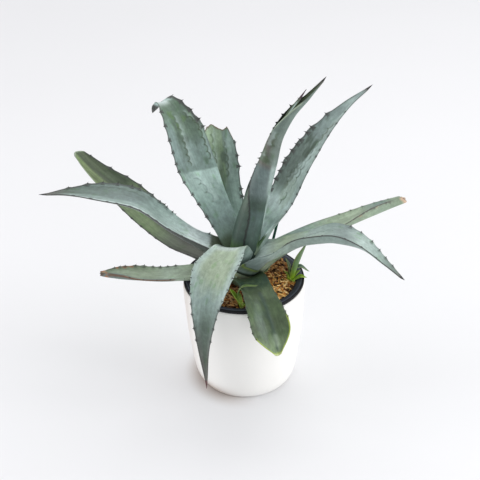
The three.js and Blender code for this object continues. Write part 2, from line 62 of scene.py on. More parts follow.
MM = 0.001
SEED = 20731
LIP_TOP = 183.5
LIP_RADIUS = 94.0
CLEAR_RADIUS = LIP_RADIUS + 1.5
CLEAR_LEVEL = LIP_TOP + 0.9  # leaves stay above this over the pots' mouth
MIX_TOP = 177.0
MIX_RADIUS = 79.6
STEM_RADIUS = 20.0
TOOTH_SPREAD = 1.5
TOOTH_ROOT = 0.6  # share of a tooth that is sunk in the margin
MARGIN_THICKNESS = 1.0
THICKNESS = [18, 12, 8.5, 7, 5.5, 4, 2.4]
BROAD_ROOT = [18, 22, 13, 8, 7.5, 6, 4, 2.4]
WHOLE_TURN = 2 * math.pi
RING_STEP = 1.4  # between rings along a leaf
TIP_STEP = 0.9  # between rings along its spine
ACROSS = 59  # points across each face of a leaf
UNDER_SHIFT = 200  # keeps the grain of a leaf's lower face apart from the upper's
FLAT_TEETH = 3.7  # below this station the bud's teeth are pressed flat
POT_COLUMNS = 192
CAMERA_PLACE = (-4.6, -1294.9, 1049.8)
CAMERA_PITCH, CAMERA_ROLL = math.radians(31.7), math.radians(1.4)
LENS, SENSOR = 75, 36
WARM_WHITE = (1.0, 0.995, 0.98)
ROOM_COLOUR, ROOM_STRENGTH = (0.985, 0.985, 1.0, 1), 0.835

# Colours, linear.
WHITE_WAX_AND_HIGHLIGHT = (0.64, 0.74, 0.73)
FROST = (0.50, 0.62, 0.60)
PALE_FROST = (0.41, 0.52, 0.49)
PALE = (0.34, 0.44, 0.41)
BLOOM = (0.25, 0.34, 0.31)
BLUE = (0.185, 0.245, 0.235)
SLATE = (0.135, 0.185, 0.16)
UPPER_GREEN = (0.125, 0.18, 0.135)
DEEP = (0.070, 0.105, 0.078)
INK = (0.042, 0.075, 0.058)
SAGE_PALE = (0.37, 0.46, 0.335)
SAGE = (0.27, 0.35, 0.25)
PALE_SAGE = (0.43, 0.54, 0.43)
SAGE_DEEP = (0.175, 0.24, 0.15)
FRESH_SAGE = (0.20, 0.27, 0.115)
OLIVE = (0.125, 0.17, 0.10)
DARK_OLIVE = (0.088, 0.12, 0.065)
MOSS = (0.062, 0.095, 0.052)
SHADE_GREEN = (0.085, 0.135, 0.068)
LEAF_GREEN = (0.10, 0.19, 0.06)
LIME = (0.34, 0.44, 0.06)
PALE_LIME = (0.56, 0.62, 0.30)
SPINE = (0.022, 0.021, 0.020)
SEAM_MARGIN_AND_SHADOW = (0.018, 0.026, 0.022)
PAINTED_GAP_SHADOW = (0.010, 0.020, 0.005)
SPINE_PURPLE = (0.13, 0.065, 0.065)
BROWN = (0.15, 0.085, 0.05)
RUST = (0.40, 0.17, 0.07)
DRY = (0.62, 0.43, 0.30)
GREY_BROWN = (0.12, 0.12, 0.105)
TOOTH_BASE = (0.060, 0.066, 0.060)
TEAL = (0.050, 0.088, 0.070)
TEAL_PALE = (0.070, 0.115, 0.105)
SLATE_GREEN = (0.085, 0.15, 0.075)
DUSK = (0.118, 0.165, 0.160)
MAUVE_GREY = (0.17, 0.165, 0.15)
FRESH_SHOOT = (0.26, 0.42, 0.014)
FOOT_GREEN = (0.030, 0.080, 0.016)


def seeded(seed):
    """Same draws as the model's own rule, so that teeth stand where its teeth stand."""
    state = seed & 0xFFFFFFFF

    def draw():
        nonlocal state
        state = (state * 1664525 + 1013904223) & 0xFFFFFFFF
        return state / 4294967296

    return draw


def lattice(i, j, k, seed):
    """Random value in 0 .. 1 for each whole-numbered point of space."""
    h = i.astype(np.int64) * 374761393 + j.astype(np.int64) * 668265263
    h = (h + k.astype(np.int64) * 1440662683 + seed * 974711) & 0xFFFFFFFF
    h = ((h ^ (h >> 13)) * 1274126177) & 0xFFFFFFFF
    return ((h ^ (h >> 16)) & 0xFFFFFFFF) / 4294967295.0


def noise(x, y, z=0.0, seed=0):
    """Smooth value noise in -1 .. 1."""
    place = np.broadcast_arrays(*(np.asarray(a, float) for a in (x, y, z)))
    low = [np.floor(a) for a in place]
    share = [a - b for a, b in zip(place, low)]
    high = [a * a * a * (a * (a * 6 - 15) + 10) for a in share]
    total = 0
    for corner in np.ndindex(2, 2, 2):
        a, b, c = (s if d else 1 - s for s, d in zip(high, corner))
        total = total + a * b * c * lattice(*(n + d for n, d in zip(low, corner)), seed)
    return 2 * total - 1


def fractal(x, y, z=0.0, seed=0, octaves=3):
    total = 0
    size = 1.0
    for k in range(octaves):
        total = total + noise(x / size, y / size, np.asarray(z) / size, seed + 31 * k) * size
        size *= 0.5
    return total / (2 - 2 * size)


def smooth(low, high, x):
    """0 below low, 1 above high, eased between; low may be the larger."""
    f = np.clip((x - low) / (high - low), 0, 1)
    return f * f * (3 - 2 * f)


def blended(base, colour, amount):
    amount = np.clip(amount, 0, 1)[..., None]
    return base * (1 - amount) + np.asarray(colour) * amount


def spline(rows, t, slope=False):
    """Smooth curve through evenly stepped rows at t, or its slope."""
    rows = np.asarray(rows, float)
    last = len(rows) - 1
    padded = np.concatenate([2 * rows[:1] - rows[1:2], rows, 2 * rows[-1:] - rows[-2:-1]])
    t = np.clip(np.asarray(t, float), 0, last)
    i = np.minimum(np.floor(t).astype(int), last - 1)
    f = (t - i).reshape(-1, *[1] * (rows.ndim - 1))
    a, b, c, d = (padded[i + k] for k in range(4))
    square = 2 * a - 5 * b + 4 * c - d
    cubic = 3 * b - a - 3 * c + d
    if slope:
        return 0.5 * ((c - a) + 2 * square * f + 3 * cubic * f * f)
    return 0.5 * (2 * b + (c - a) * f + square * f * f + cubic * f**3)


def unit(v):
    return v / np.linalg.norm(v, axis=-1, keepdims=True)


def circle(columns):
    return np.linspace(0, WHOLE_TURN, columns, endpoint=False)


def frames_along(rows, t, azimuth):
    """Centre, heading, level crosswise and upper direction of a line at each t."""
    centre = spline(rows, t)
    heading = unit(spline(rows, t, slope=True))
    sideways = np.array([-math.sin(azimuth), math.cos(azimuth), 0.0])
    level = unit(sideways - heading * (heading @ sideways)[:, None])
    return centre, heading, level, np.cross(heading, level)


def lengthened(frames, tip, extra):
    """Frames carried straight on over a tip, and each new ring's place along it in 0 .. 1."""
    x = np.linspace(0, 1, extra + 1)[1:]
    ends = [a[-1:].repeat(extra, 0) for a in frames]
    ends[0] = ends[0] + ends[1] * (tip * x)[:, None]
    return [np.vstack(pair) for pair in zip(frames, ends)], x


class Leaf:
    """One leaf. A station is its reach, height, shift aside, half width, roll and curl."""

    on_roll = False

    def __init__(self, azimuth, look, stations, teeth, tip=0, cut_end=None, keel=None, raised=(),
                 thickness=THICKNESS):
        self.azimuth = math.radians(azimuth)
        self.last = len(stations) - 1
        self.look, self.teeth, self.tip, self.cut_end = look, teeth, tip, cut_end
        self.keel, self.raised, self.thickness = keel, raised, thickness
        cos, sin = math.cos(self.azimuth), math.sin(self.azimuth)
        reach, height, side, self.halves, self.rolls, self.curls = np.array(stations, float).T
        self.line = np.stack([reach * cos - side * sin, reach * sin + side * cos, height], 1)

    def curl(self, t):
        return np.radians(spline(self.curls, t))

    def half(self, t):
        curl = self.curl(t)
        return np.maximum(spline(self.halves, t) * curl / np.sin(curl), 0.9)

    def thick(self, t):
        steps = len(self.thickness) - 1
        return spline(self.thickness, np.asarray(t) / self.last * steps)

    def arc(self, t):
        """Millimetres along the leaf's line at t."""
        fine = np.linspace(0, self.last, 60 * self.last + 1)
        steps = np.linalg.norm(np.diff(spline(self.line, fine), axis=0), axis=1)
        return np.interp(t, fine, np.concatenate([[0], np.cumsum(steps)]))

    def frames(self, t):
        """Centre, heading, crosswise and normal direction at each t, as rows."""
        centre, heading, level, upper = frames_along(self.line, t, self.azimuth)
        roll = np.radians(spline(self.rolls, t))[:, None]
        across = level * np.cos(roll) + upper * np.sin(roll)
        return centre, heading, across, upper * np.cos(roll) - level * np.sin(roll)

    def edges(self, t, u):
        """Share by which the curl is wound on, and how far the leaf lies outwards, at t and u."""
        lap = np.zeros((len(t), len(u)))
        for side, amount, low, high in self.raised:
            ends = smooth(low - 0.8, low + 0.6, t) * smooth(high + 0.8, high - 0.6, t)
            lap = lap - amount * ends[:, None] * smooth(0.25, 1.0, u * side)
        return np.ones(lap.shape), lap


class BudLeaf(Leaf):
    """Outer leaf of the bud, wrapped round the bud's own line. Its roll column is its thickness."""

    on_roll = True
    near_wrap = [1, 1, 1, 1.19, 1.36, 1.39, 1.23, 1.05, 1.0]

    def __init__(self, *values, **extra):
        super().__init__(*values, **extra)
        self.thickness = self.rolls
        self.rolls = 0 * self.rolls

    def half(self, t):
        return np.maximum(spline(self.halves, t) * self.curl(t), 0.9)

    def edges(self, t, u):
        turn, lap = super().edges(t, u)
        wound = (spline(self.near_wrap, t) - 1)[:, None] * (u < 0)
        tucked = smooth(4.7, 3.8, t)[:, None] * (u > 0)
        lap = lap + (3.2 * wound - 1.6 * tucked) * smooth(0.45, 0.95, np.abs(u))
        return turn * (1 + wound - 0.14 * tucked), lap


class Spots:
    """Places on a leaf, masks over them, and the colour and relief painted with the masks."""

    def __init__(self, leaf, t, u, v, lower, seed):
        self.leaf = leaf
        self.t, self.u = np.broadcast_arrays(t[:, None], u[None, :])
        self.v = np.broadcast_to(v[:, None], self.t.shape)
        half = leaf.half(t)[:, None]
        self.w = self.u * half
        self.lower = np.broadcast_to(lower, self.t.shape)
        self.top = 1 - self.lower
        self.seed = seed
        self.to_tip = v.max() - self.v
        self.margin = half * (1 - np.abs(self.u))
        self.stations = (t, v)
        calm = smooth(0, 5, self.margin)
        waves = 0.7 * self.grain(44, 18, 8, 2) * calm
        self.relief = waves + 0.10 * self.grain(90, 2.4, 9, 2) * calm

    def at(self, t, u):
        """Millimetres along and across of a place given in stations and halves."""
        return np.interp(t, *self.stations), u * self.leaf.half(np.array([float(t)]))[0]

    def grain(self, along, across, shift=0, octaves=3):
        """Noise whose patches are about so many millimetres along and across."""
        z = 7.3 * self.lower + shift
        return fractal(self.v / along, self.w / across, z, self.seed + shift, octaves)

    def after(self, t, soft=0.2):
        return smooth(t - soft, t + soft, self.t)

    def between(self, low, high, soft=0.2):
        return self.after(low, soft) * (1 - self.after(high, soft))

    def side(self, low, high, soft=0.12):
        """1 between two places across, in halves."""
        return smooth(low - soft, low + soft, self.u) * smooth(high + soft, high - soft, self.u)

    def rim(self, side, width):
        """1 at one margin, gone at `width` millimetres from it."""
        return smooth(width, 0.3 * width, self.margin) * (self.u * side > 0)

    def far(self, t, u, long, wide):
        """Distance from a place, 1 on an oval of that length and width."""
        v, w = self.at(t, u)
        return np.hypot((self.v - v) / long, (self.w - w) / wide)

    def blob(self, t, u, long, wide, ragged=0.35):
        far = self.far(t, u, long, wide) + ragged * self.grain(0.7 * long, 0.7 * wide, 13)
        return smooth(1.15, 0.55, far) * self.top

    def low_blob(self, *oval):
        far = self.far(*oval) + 0.3 * self.grain(5, 5, 15)
        return smooth(1.15, 0.55, far) * (self.lower > 0.9)

    def along_path(self, places):
        """Distance along and signed distance from a path given in stations and halves."""
        marks = np.array([self.at(t, u) for t, u in places])
        best = np.full(self.v.shape, 1e9)
        along, off = np.zeros((2, *self.v.shape))
        run = 0.0
        for a, b in zip(marks[:-1], marks[1:]):
            size = float(np.hypot(*(b - a)))
            way = (b - a) / size
            dv, dw = self.v - a[0], self.w - a[1]
            q = np.clip(dv * way[0] + dw * way[1], 0, size)
            far = np.hypot(dv - q * way[0], dw - q * way[1])
            nearer = far < best
            best = np.where(nearer, far, best)
            along = np.where(nearer, run + q, along)
            off = np.where(nearer, np.sign(way[0] * dw - way[1] * dv) * far, off)
            run += size
        return along, off, run

    def stroke(self, places, width, ragged=0.3):
        """Soft line through places given in stations and halves."""
        off = self.along_path(places)[1]
        wide = width * (1 + ragged * self.grain(9, 5, 11))
        return np.exp(-((off / wide) ** 2)) * self.top

    def chain(self, places, pitch, depth, width=1.1, face=0):
        """Print of a toothed margin: the dark scallops, a nick at each cusp, and their inside."""
        along, off, run = self.along_path(places)
        phase = along / pitch + 0.12 * self.grain(25, 25, 17)
        wave = np.abs(np.sin(math.pi * phase))
        past = off - depth * (wave**0.6 - 0.4)
        ends = smooth(0, 4, along) * smooth(run, run - 4, along)
        near = np.exp(-((off / (2.5 * depth)) ** 2)) * ends * (np.abs(self.lower - face) < 0.4)
        nick = np.exp(-((wave * pitch / 3.0) ** 2))
        nick = nick * np.exp(-(((off + 0.4 * depth) / (0.45 * depth)) ** 2))
        hold = smooth(-0.75, 0.1, self.grain(16, 16, 19))
        fill = smooth(0, 1.2, past) * np.exp(-((off / (3 * depth)) ** 2))
        return np.exp(-((past / width) ** 2)) * near * hold, nick * near * hold, fill * near

    def paint(self, colour, amount):
        self.colour = blended(self.colour, colour, amount)

    def ramp(self, stops, wander=0.15):
        """Ground colour that changes along a leaf, with soft wandering borders."""
        places = self.t + wander * self.grain(30, 12, 23)
        ts, tones = zip(*stops)
        self.colour = np.stack([np.interp(places, ts, tone) for tone in zip(*tones)], -1)

    def weather(self, tint=1.0, mottling=0.26, streaks=0.12):
        """Uneven wax: blotches, long faint streaks and small rubbed places."""
        factor = 1 + mottling * self.grain(34, 16, 1, 4) + streaks * self.grain(90, 4.5, 2, 3)
        factor = factor + 0.10 * self.grain(11, 7, 3, 3)
        self.colour = self.colour * tint * np.clip(factor, 0.5, 1.6)[..., None]
        worn = smooth(0.25, 0.75, self.grain(14, 7, 27, 4))
        self.paint(self.colour * (0.70, 0.86, 0.64), 0.75 * worn)
        waxy = smooth(0.30, 0.75, self.grain(18, 8, 29, 4))
        self.paint(self.colour * (1.22, 1.18, 1.24), 0.55 * waxy)

    def press(self, chains, deep=DEEP, pale=PALE, strength=1.0):
        """Adds printed margins: a dark line, nicks, and a paler scallop beside each."""
        for chain in chains:
            line, nick, fill = self.chain(*chain)
            self.paint(pale, 0.32 * strength * fill)
            self.paint(deep, 0.75 * strength * line)
            self.paint(MOSS, 0.95 * strength * nick)
            self.relief = self.relief + 0.55 * line - 0.45 * nick

    def rims(self, parts, shade=TOOTH_BASE):
        """Horny edge: for each part a side, a width, a strength and the stations it spans."""
        for side, width, strength, low, high in parts:
            wide = width * (1 + 0.25 * self.grain(7, 30, 31))
            self.paint(shade, strength * (self.rim(side, wide) * self.between(low, high, 0.2)))

    def spine(self, shade=SPINE, length=13, fade=14):
        """Dark horny spine at the tip, running a little way back along the margins."""
        far = self.to_tip + 1.5 * self.grain(5, 2.5, 6)
        brown = smooth(length + fade, length, far + 1.6 * np.minimum(self.margin, 9))
        self.paint(GREY_BROWN, 0.8 * brown)
        self.paint(shade, smooth(length + 4, length - 2, far + 0.3 * self.margin))

    def healed(self, width, inner, outer):
        """Healed end of a leaf that was cut across."""
        ragged = self.to_tip + 1.2 * self.grain(4, 4, 7)
        self.paint(outer, 0.6 * smooth(width * 2.0, width, ragged))
        self.paint(inner, 0.85 * smooth(width, width * 0.3, ragged))


def look_right_tall(s):
    s.ramp([(0.3, SAGE), (0.6, FROST), (0.9, FROST), (1.2, BLOOM), (1.5, PALE), (1.9, FROST),
        (2.4, PALE), (3.4, PALE), (4.0, BLOOM), (4.6, PALE), (5.3, PALE), (6, BLUE)])
    border = np.interp(s.t, [1.8, 2.3, 2.8, 3.4, 4.0, 4.6], [0.45, 0.24, 0.04, -0.18, -0.34, -0.5])
    shaded = smooth(-0.07, 0.07, s.u - border + 0.10 * s.grain(14, 8, 33)) * s.top
    s.paint(SLATE, 0.95 * shaded * s.between(2.15, 3.9, 0.3))
    s.paint(BLUE, 0.8 * shaded * s.between(3.6, 5.0, 0.3))
    s.paint(BLUE, 0.5 * s.between(5.3, 6.5, 0.3))
    s.paint(DEEP, 0.8 * shaded * smooth(0.1, 0.6, s.grain(22, 7, 34)) * s.between(2.5, 4.4))
    s.paint(DEEP, 0.8 * s.blob(3.55, -0.10, 13, 4) + 0.7 * s.blob(3.3, 0.02, 9, 4))
    s.paint(MAUVE_GREY, 0.35 * s.blob(4.0, -0.55, 34, 5))
    s.paint(SAGE, 0.45 * s.blob(2.2, -0.1, 30, 14))
    foot = (s.u < 0) * s.between(0.25, 0.72, 0.1)
    s.paint(PALE_FROST, 0.8 * foot * np.exp(-(((s.margin - 8) / 3) ** 2)))
    s.weather(0.94)
    s.paint(FOOT_GREEN, 0.95 * foot * smooth(4.2, 2.6, s.margin))
    chains = [([(4.3, -0.46), (3.96, -0.37), (3.5, -0.27), (3.14, -0.03), (2.81, 0.0), (2.49, 0.23),
        (2.1, 0.35)], 13, 4.4), ([(3.3, -0.36), (3.0, -0.28), (2.6, -0.22), (2.2, -0.05),
        (1.8, 0.15)], 14, 4.0), ([(3.1, 0.2), (2.8, 0.24), (2.5, 0.45)], 9, 3.0)]
    s.press(chains, DEEP, FROST, 1.25)
    s.rims([(1, 2.4, 0.7, 1.6, 5.6), (-1, 1.8, 0.6, 1.2, 5.8)])
    s.spine()


def look_left_tall(s):
    s.ramp([(0.3, MOSS), (0.8, SLATE), (1.3, BLUE), (2.0, BLOOM), (2.6, PALE), (3.2, PALE),
        (5.4, PALE), (6, FROST)])
    border = 2.965 + 0.09 * s.u + 0.025 * s.grain(12, 6, 35)
    soft = 0.04 + 0.10 * smooth(0.2, 0.9, s.u)
    shade = smooth(border - soft, border + soft, s.t) * s.top
    s.paint(UPPER_GREEN, shade * smooth(5.6, 4.9, s.t))
    s.paint(BLUE, 0.75 * shade * smooth(3.95, 3.6, s.t))
    s.paint(DEEP, shade * smooth(0.0, 0.6, s.grain(22, 11, 36)) * smooth(4.9, 4.3, s.t))
    s.paint(DEEP, 0.7 * shade * s.blob(3.95, -0.5, 30, 12))
    s.paint(BLUE, 0.85 * shade * s.side(0.5, 1.3, 0.15) * s.between(3.0, 4.3, 0.3))
    s.paint(DEEP, 0.6 * s.blob(4.2, 0.3, 18, 5))
    s.paint(BLOOM, 0.7 * shade * smooth(4.9, 5.6, s.t) * smooth(-0.5, 0.6, s.u))
    s.paint(BLOOM, 0.6 * shade * s.side(-1.3, -0.6, 0.2) * s.between(2.9, 3.5))
    s.weather((1.12, 1.18, 1.16), 0.30, 0.06)
    for t, u, size in ((4.33, -0.35, 5), (4.52, 0.31, 6), (4.37, -0.84, 4.5), (4.15, 0.15, 4)):
        s.paint(LEAF_GREEN, 0.55 * s.blob(t, u, 1.6 * size, 0.8 * size, 0.8))
    s.paint(FROST, 0.5 * s.stroke([(5.6, 0.9), (5.3, 0.1), (5.2, -0.6)], 3.5))
    chains = [([(4.5, 0.22), (4.15, 0.17), (3.65, 0.2), (3.1, 0.22)], 11, 3.6),
        ([(4.5, -0.5), (4.3, -0.62), (4.1, -0.88)], 11, 3.6)]
    s.press(chains, MOSS, FROST, 1.3)
    s.press([([(2.78, 0.42), (2.62, 0.1), (2.2, 0.0), (1.8, -0.12)], 17, 6.0)], BLUE, FROST, 1.0)
    s.press([([(4.3, -0.86), (3.9, -0.80), (3.5, -0.80), (3.1, -0.84)], 12, 3.4)], MOSS, FROST, 1.2)
    s.rims([(-1, 5.0, 0.9, 4.0, 5.6), (-1, 1.6, 0.4, 3.0, 4.0), (1, 2.2, 0.7, 1.2, 5.6)])
    s.paint(WHITE_WAX_AND_HIGHLIGHT, 0.75 * s.top * s.side(-0.2, 1.0, 0.2) * s.between(5.0, 5.55))
    s.paint(TOOTH_BASE, 0.85 * s.after(5.75, 0.15))
    s.paint(MOSS, 0.8 * smooth(0.85, 0.6, s.t) * smooth(-0.6, 0.2, s.u))
    s.spine(TOOTH_BASE, 25, 3)


def look_left_arching(s):
    s.ramp([(0.45, DARK_OLIVE), (0.60, SAGE), (0.75, WHITE_WAX_AND_HIGHLIGHT), (1.3, WHITE_WAX_AND_HIGHLIGHT),
        (1.6, PALE_FROST), (2.0, PALE), (2.5, BLOOM), (3.2, BLUE), (4.6, SLATE), (6, GREY_BROWN)],
        0.08)
    s.paint(PALE, 0.6 * s.side(0.25, 0.95, 0.15) * s.between(2.2, 5.2, 0.5))
    s.paint(WHITE_WAX_AND_HIGHLIGHT, 0.6 * s.side(0.70, 0.92, 0.06) * s.between(2.0, 4.8, 0.4))
    s.paint(SLATE, 0.5 * s.side(-0.95, -0.2, 0.2) * s.between(3.0, 5.0, 0.5))
    s.paint(SLATE, 0.8 * s.lower)
    # Near the root the lower face is painted darker, as shade.
    s.paint(TOOTH_BASE, 0.85 * s.lower * smooth(3.0, 2.4, s.t))
    # Painted shadow in the gap at the root.
    s.paint((0.072, 0.085, 0.052), 0.9 * smooth(0.07, -0.07, s.t - 0.71 + 0.09 * s.u) * s.top)
    s.weather(1.0, 0.22, 0.14)
    s.paint(MOSS, 0.8 * s.stroke([(1.75, 0.25), (1.55, 0.35), (1.42, 0.42)], 0.9, 0.2))
    s.press([([(4.4, -0.7), (3.6, -0.72), (2.8, -0.6)], 15, 2.6)], SLATE, PALE, 0.7)
    s.rims([(1, 3.4, 0.9, 0.6, 6), (-1, 3.4, 0.75, 2.35, 6)])
    s.spine(SPINE, 12, 20)


def look_front_drooping(s):
    stops = [(0.5, SLATE), (0.98, SLATE), (1.22, SAGE_PALE), (1.8, SAGE_PALE), (3.2, SAGE_PALE),
        (3.8, BLOOM), (4.5, SLATE), (5.6, GREY_BROWN)]
    s.ramp(stops, 0.2)
    s.paint(PALE_FROST, 0.85 * smooth(15, 3, s.margin) * s.between(1.2, 3.9, 0.4))
    # Painted highlight along the top of the fold near the root.
    s.paint(WHITE_WAX_AND_HIGHLIGHT, 0.6 * s.top * s.between(1.05, 1.45, 0.14) * smooth(0.9, 0.2, s.u))
    s.paint(PALE, 0.6 * s.side(-1.3, -0.45, 0.4) * s.between(3.0, 4.4, 0.4))
    s.paint(DEEP, 0.7 * s.side(-0.35, 0.6, 0.3) * s.between(4.2, 5.8, 0.4))
    s.weather(0.95, 0.18, 0.14)
    s.paint(PALE_FROST, 0.8 * s.lower * s.side(0.55, 1.3, 0.2) * s.between(-1, 0.45))
    s.paint(BLOOM, 0.6 * s.lower * s.side(0.4, 1.3, 0.2) * s.between(-1, 0.8))
    s.rims([(-1, 2.2, 0.55, 3.8, 6), (1, 2.2, 0.55, 3.8, 6)])
    s.spine(SPINE_PURPLE, 15, 10)


def look_right_arching(s):
    s.ramp([(0.9, BLOOM), (1.4, PALE_FROST), (2.2, SAGE_PALE), (3.2, PALE), (3.8, BLOOM),
        (4.4, BLUE), (5.0, PALE), (5.8, BLOOM)])
    s.paint(SLATE, s.after(6.0, 0.5))
    s.paint(SAGE, 0.5 * s.side(-1.2, 0.1, 0.3) * s.between(1.6, 3.6, 0.4))
    s.paint(BLOOM, 0.8 * s.lower * s.between(1.0, 4.8, 0.6))
    s.paint(BLUE, 0.6 * s.between(0.2, 1.0))
    s.weather((1.11, 1.07, 1.07), 0.20, 0.10)
    s.press([([(2.4, 0.2), (3.2, 0.35), (4.0, 0.3)], 14, 2.8)], SLATE, PALE, 0.6)
    fold = [(0.86, -0.97), (1.15, -0.78), (1.45, -0.66), (1.8, -0.72), (2.1, -0.86), (2.35, -1.0)]
    off = s.along_path(fold)[1]
    below = smooth(-0.4, 0.4, -off) * s.top * s.between(0.7, 2.3, 0.1) * (s.u < -0.3)
    s.paint(BLUE, 0.9 * below * smooth(2.0, 1.5, s.t))
    s.paint(BLOOM, 0.8 * below * smooth(1.5, 2.0, s.t))
    s.paint(WHITE_WAX_AND_HIGHLIGHT, 0.85 * s.stroke(fold, 1.0, 0.1))
    s.paint(BLUE, 0.7 * s.lower * s.between(0.3, 1.5) * smooth(-0.3, -0.5, s.u))
    # Along the hem the lower face gets a yellow-green edge line, a painted olive shadow on one side
    # and a dark painted shadow line on the other.
    hem = [(0.66, -1.0), (0.56, -0.93), (0.53, -0.70), (0.40, -0.42), (0.40, -0.27), (0.98, -0.27),
        (1.5, -0.36)]
    off = s.along_path(hem)[1]
    under = s.lower > 0.4
    s.paint(OLIVE, 0.85 * under * smooth(9, 3, off + 2 * s.grain(6, 5, 38)) * (off > 0))
    s.paint((0.20, 0.28, 0.04), 0.9 * under * np.exp(-((off / 1.7) ** 2)))
    s.paint(MOSS, 0.9 * under * np.exp(-(((np.abs(off) - 2.2) / 0.9) ** 2)) * (off < 0))
    # Painted shadow on the lower face at the root, in the gap under the leaves.
    s.paint(PAINTED_GAP_SHADOW, 0.95 * s.lower * s.between(-1, 0.17, 0.07) * smooth(0.1, -0.3, s.u))
    s.rims([(-1, 1.3, 0.95, 2.3, 7), (1, 1.6, 0.35, 3.3, 7)])
    s.spine(SPINE, 10, 16)


def look_right_straight(s):
    stops = [(0.8, SAGE), (1.6, PALE), (2.6, SAGE_PALE), (3.6, SAGE_PALE), (4.2, BLOOM),
        (4.8, SAGE_DEEP), (5, OLIVE)]
    s.ramp(stops)
    s.paint(SAGE, 0.8 * s.lower)
    s.weather(1.0, 0.20, 0.14)
    s.rims([(1, 1.2, 0.5, 1.5, 5)])
    kinks = np.clip(1 + 1.7 * s.grain(3.4, 30, 45), 0.25, 2.4)
    rust = s.rim(-1, 3.6 * kinks) * s.between(2.9, 4.5)
    s.paint(RUST, 0.75 * rust * smooth(0.15, 0.6, s.grain(9, 30, 39)))
    s.paint(GREY_BROWN, 0.95 * s.rim(-1, 1.5 * kinks) * s.between(2.9, 4.6))
    s.paint(SAGE, 0.9 * s.side(0.1, 1.3, 0.15) * s.after(4.6))
    # Painted shadow on the lower face at the root, in the gap under the leaves.
    s.paint(PAINTED_GAP_SHADOW, 0.9 * s.lower * s.between(-1, 0.2, 0.08) * smooth(-0.3, -0.6, s.u))
    fresh = s.colour
    s.healed(3.0, DRY, DRY)
    s.colour = blended(fresh, s.colour, smooth(0.7, 0.4, s.u))


def look_back_cut(s):
    s.ramp([(0.6, SAGE), (1.6, BLOOM), (2.2, SLATE), (2.7, SAGE_DEEP), (3.3, SAGE_DEEP),
        (3.7, SAGE), (4.0, SAGE)])
    s.paint(BLUE, 0.85 * s.side(-1.3, -0.28) * s.after(2.2, 0.5))
    s.paint(PALE, 0.6 * s.blob(3.55, -0.72, 22, 6) + 0.5 * s.blob(3.0, 0.35, 18, 6))
    s.paint(PALE, 0.8 * s.side(-1.3, -0.45, 0.2) * (1 - s.after(2.4, 0.5)))
    s.paint(SAGE_PALE, 0.5 * s.side(0.45, 1.3, 0.1) * s.after(3.0))
    s.paint(DEEP, 0.8 * s.blob(3.05, -0.2, 13, 6) + 0.5 * s.blob(2.6, 0.0, 22, 5))
    s.weather((1.05, 1.11, 1.06), 0.3, 0.08)
    chains = [([(3.95, 0.36), (3.43, 0.40), (3.1, 0.28), (2.7, 0.3)], 11, 3.4),
        ([(3.6, -0.3), (3.04, -0.42), (2.5, -0.3)], 12, 3.2)]
    s.press(chains, MOSS, PALE_FROST, 1.3)
    s.rims([(-1, 2.0, 0.7, 1.4, 4.1)])
    s.healed(1.6, BROWN, OLIVE)


def look_left_blunt(s):
    s.ramp([(0.5, MAUVE_GREY), (0.9, GREY_BROWN), (1.6, DARK_OLIVE), (2.3, SAGE_DEEP),
        (3.6, SAGE_DEEP), (4.3, MOSS), (5.2, DARK_OLIVE)])
    s.paint(GREY_BROWN, 0.7 * s.side(-1.2, 0.0, 0.3) * s.between(0.8, 2.6, 0.4))
    s.paint(FRESH_SAGE, 0.8 * s.side(0.1, 1.3, 0.3) * s.after(4.0, 0.4))
    s.paint(FRESH_SAGE, 0.5 * s.between(2.4, 3.9, 0.4))
    groove = s.stroke([(6.0, 0.1), (5.2, 0.0), (4.3, -0.1)], 3.0)
    s.paint(MOSS, 0.6 * groove + 0.4 * s.stroke([(5.4, 0.45), (4.4, 0.35)], 1.4))
    s.paint(GREY_BROWN, 0.5 * s.between(1.2, 2.3, 0.4))
    s.weather(1.0, 0.20, 0.36)
    s.rims([(-1, 3.0, 0.85, 1.4, 7), (1, 3.0, 0.85, 0.8, 4.6)])
    s.rims([(1, 2.6, 0.6, 4.8, 7)], SAGE_PALE)
    s.healed(2.0, SAGE_PALE, OLIVE)


def look_left_low(s):
    s.ramp([(1.5, SAGE_PALE), (2.6, PALE_SAGE), (3.2, SAGE_PALE), (4.6, SAGE_PALE), (5.4, SAGE),
        (6, SAGE_DEEP)])
    s.paint(OLIVE, 0.6 * s.side(-1.2, -0.45, 0.3) * s.after(3.4, 0.5))
    s.paint(BLUE, 0.9 * np.maximum(s.side(0.62, 1.3, 0.08), s.lower) * s.after(2.4, 0.4))
    s.weather(0.93, 0.22, 0.14)
    wiggle = 1 + 0.4 * s.grain(8, 8, 44)
    scar = s.rim(1, 4.2 * wiggle) * s.between(2.35, 4.75, 0.15) * (s.lower < 0.6)
    s.paint(RUST, 0.85 * scar)
    s.paint(BROWN, 0.9 * s.rim(1, 1.8 * wiggle) * s.between(2.3, 5.6, 0.1))
    s.paint(RUST, 0.8 * s.blob(4.66, -0.9, 5, 3.5))
    s.rims([(-1, 2.2, 0.5, 2.0, 6)])
    ragged = s.to_tip + 5 * s.grain(7, 4, 41)
    s.paint(DRY, 0.5 * smooth(8, 4, ragged) * smooth(0.6, -0.2, s.u))
    s.paint(RUST, 0.9 * smooth(0.0, 0.3, s.grain(5, 3, 43)) * smooth(12, 8, ragged))
    s.paint(RUST, 0.7 * s.blob(5.05, -0.88, 3, 2) + 0.6 * s.blob(4.3, -0.92, 6, 2))
    s.paint(BROWN, 0.8 * smooth(2.4, 1, s.to_tip))


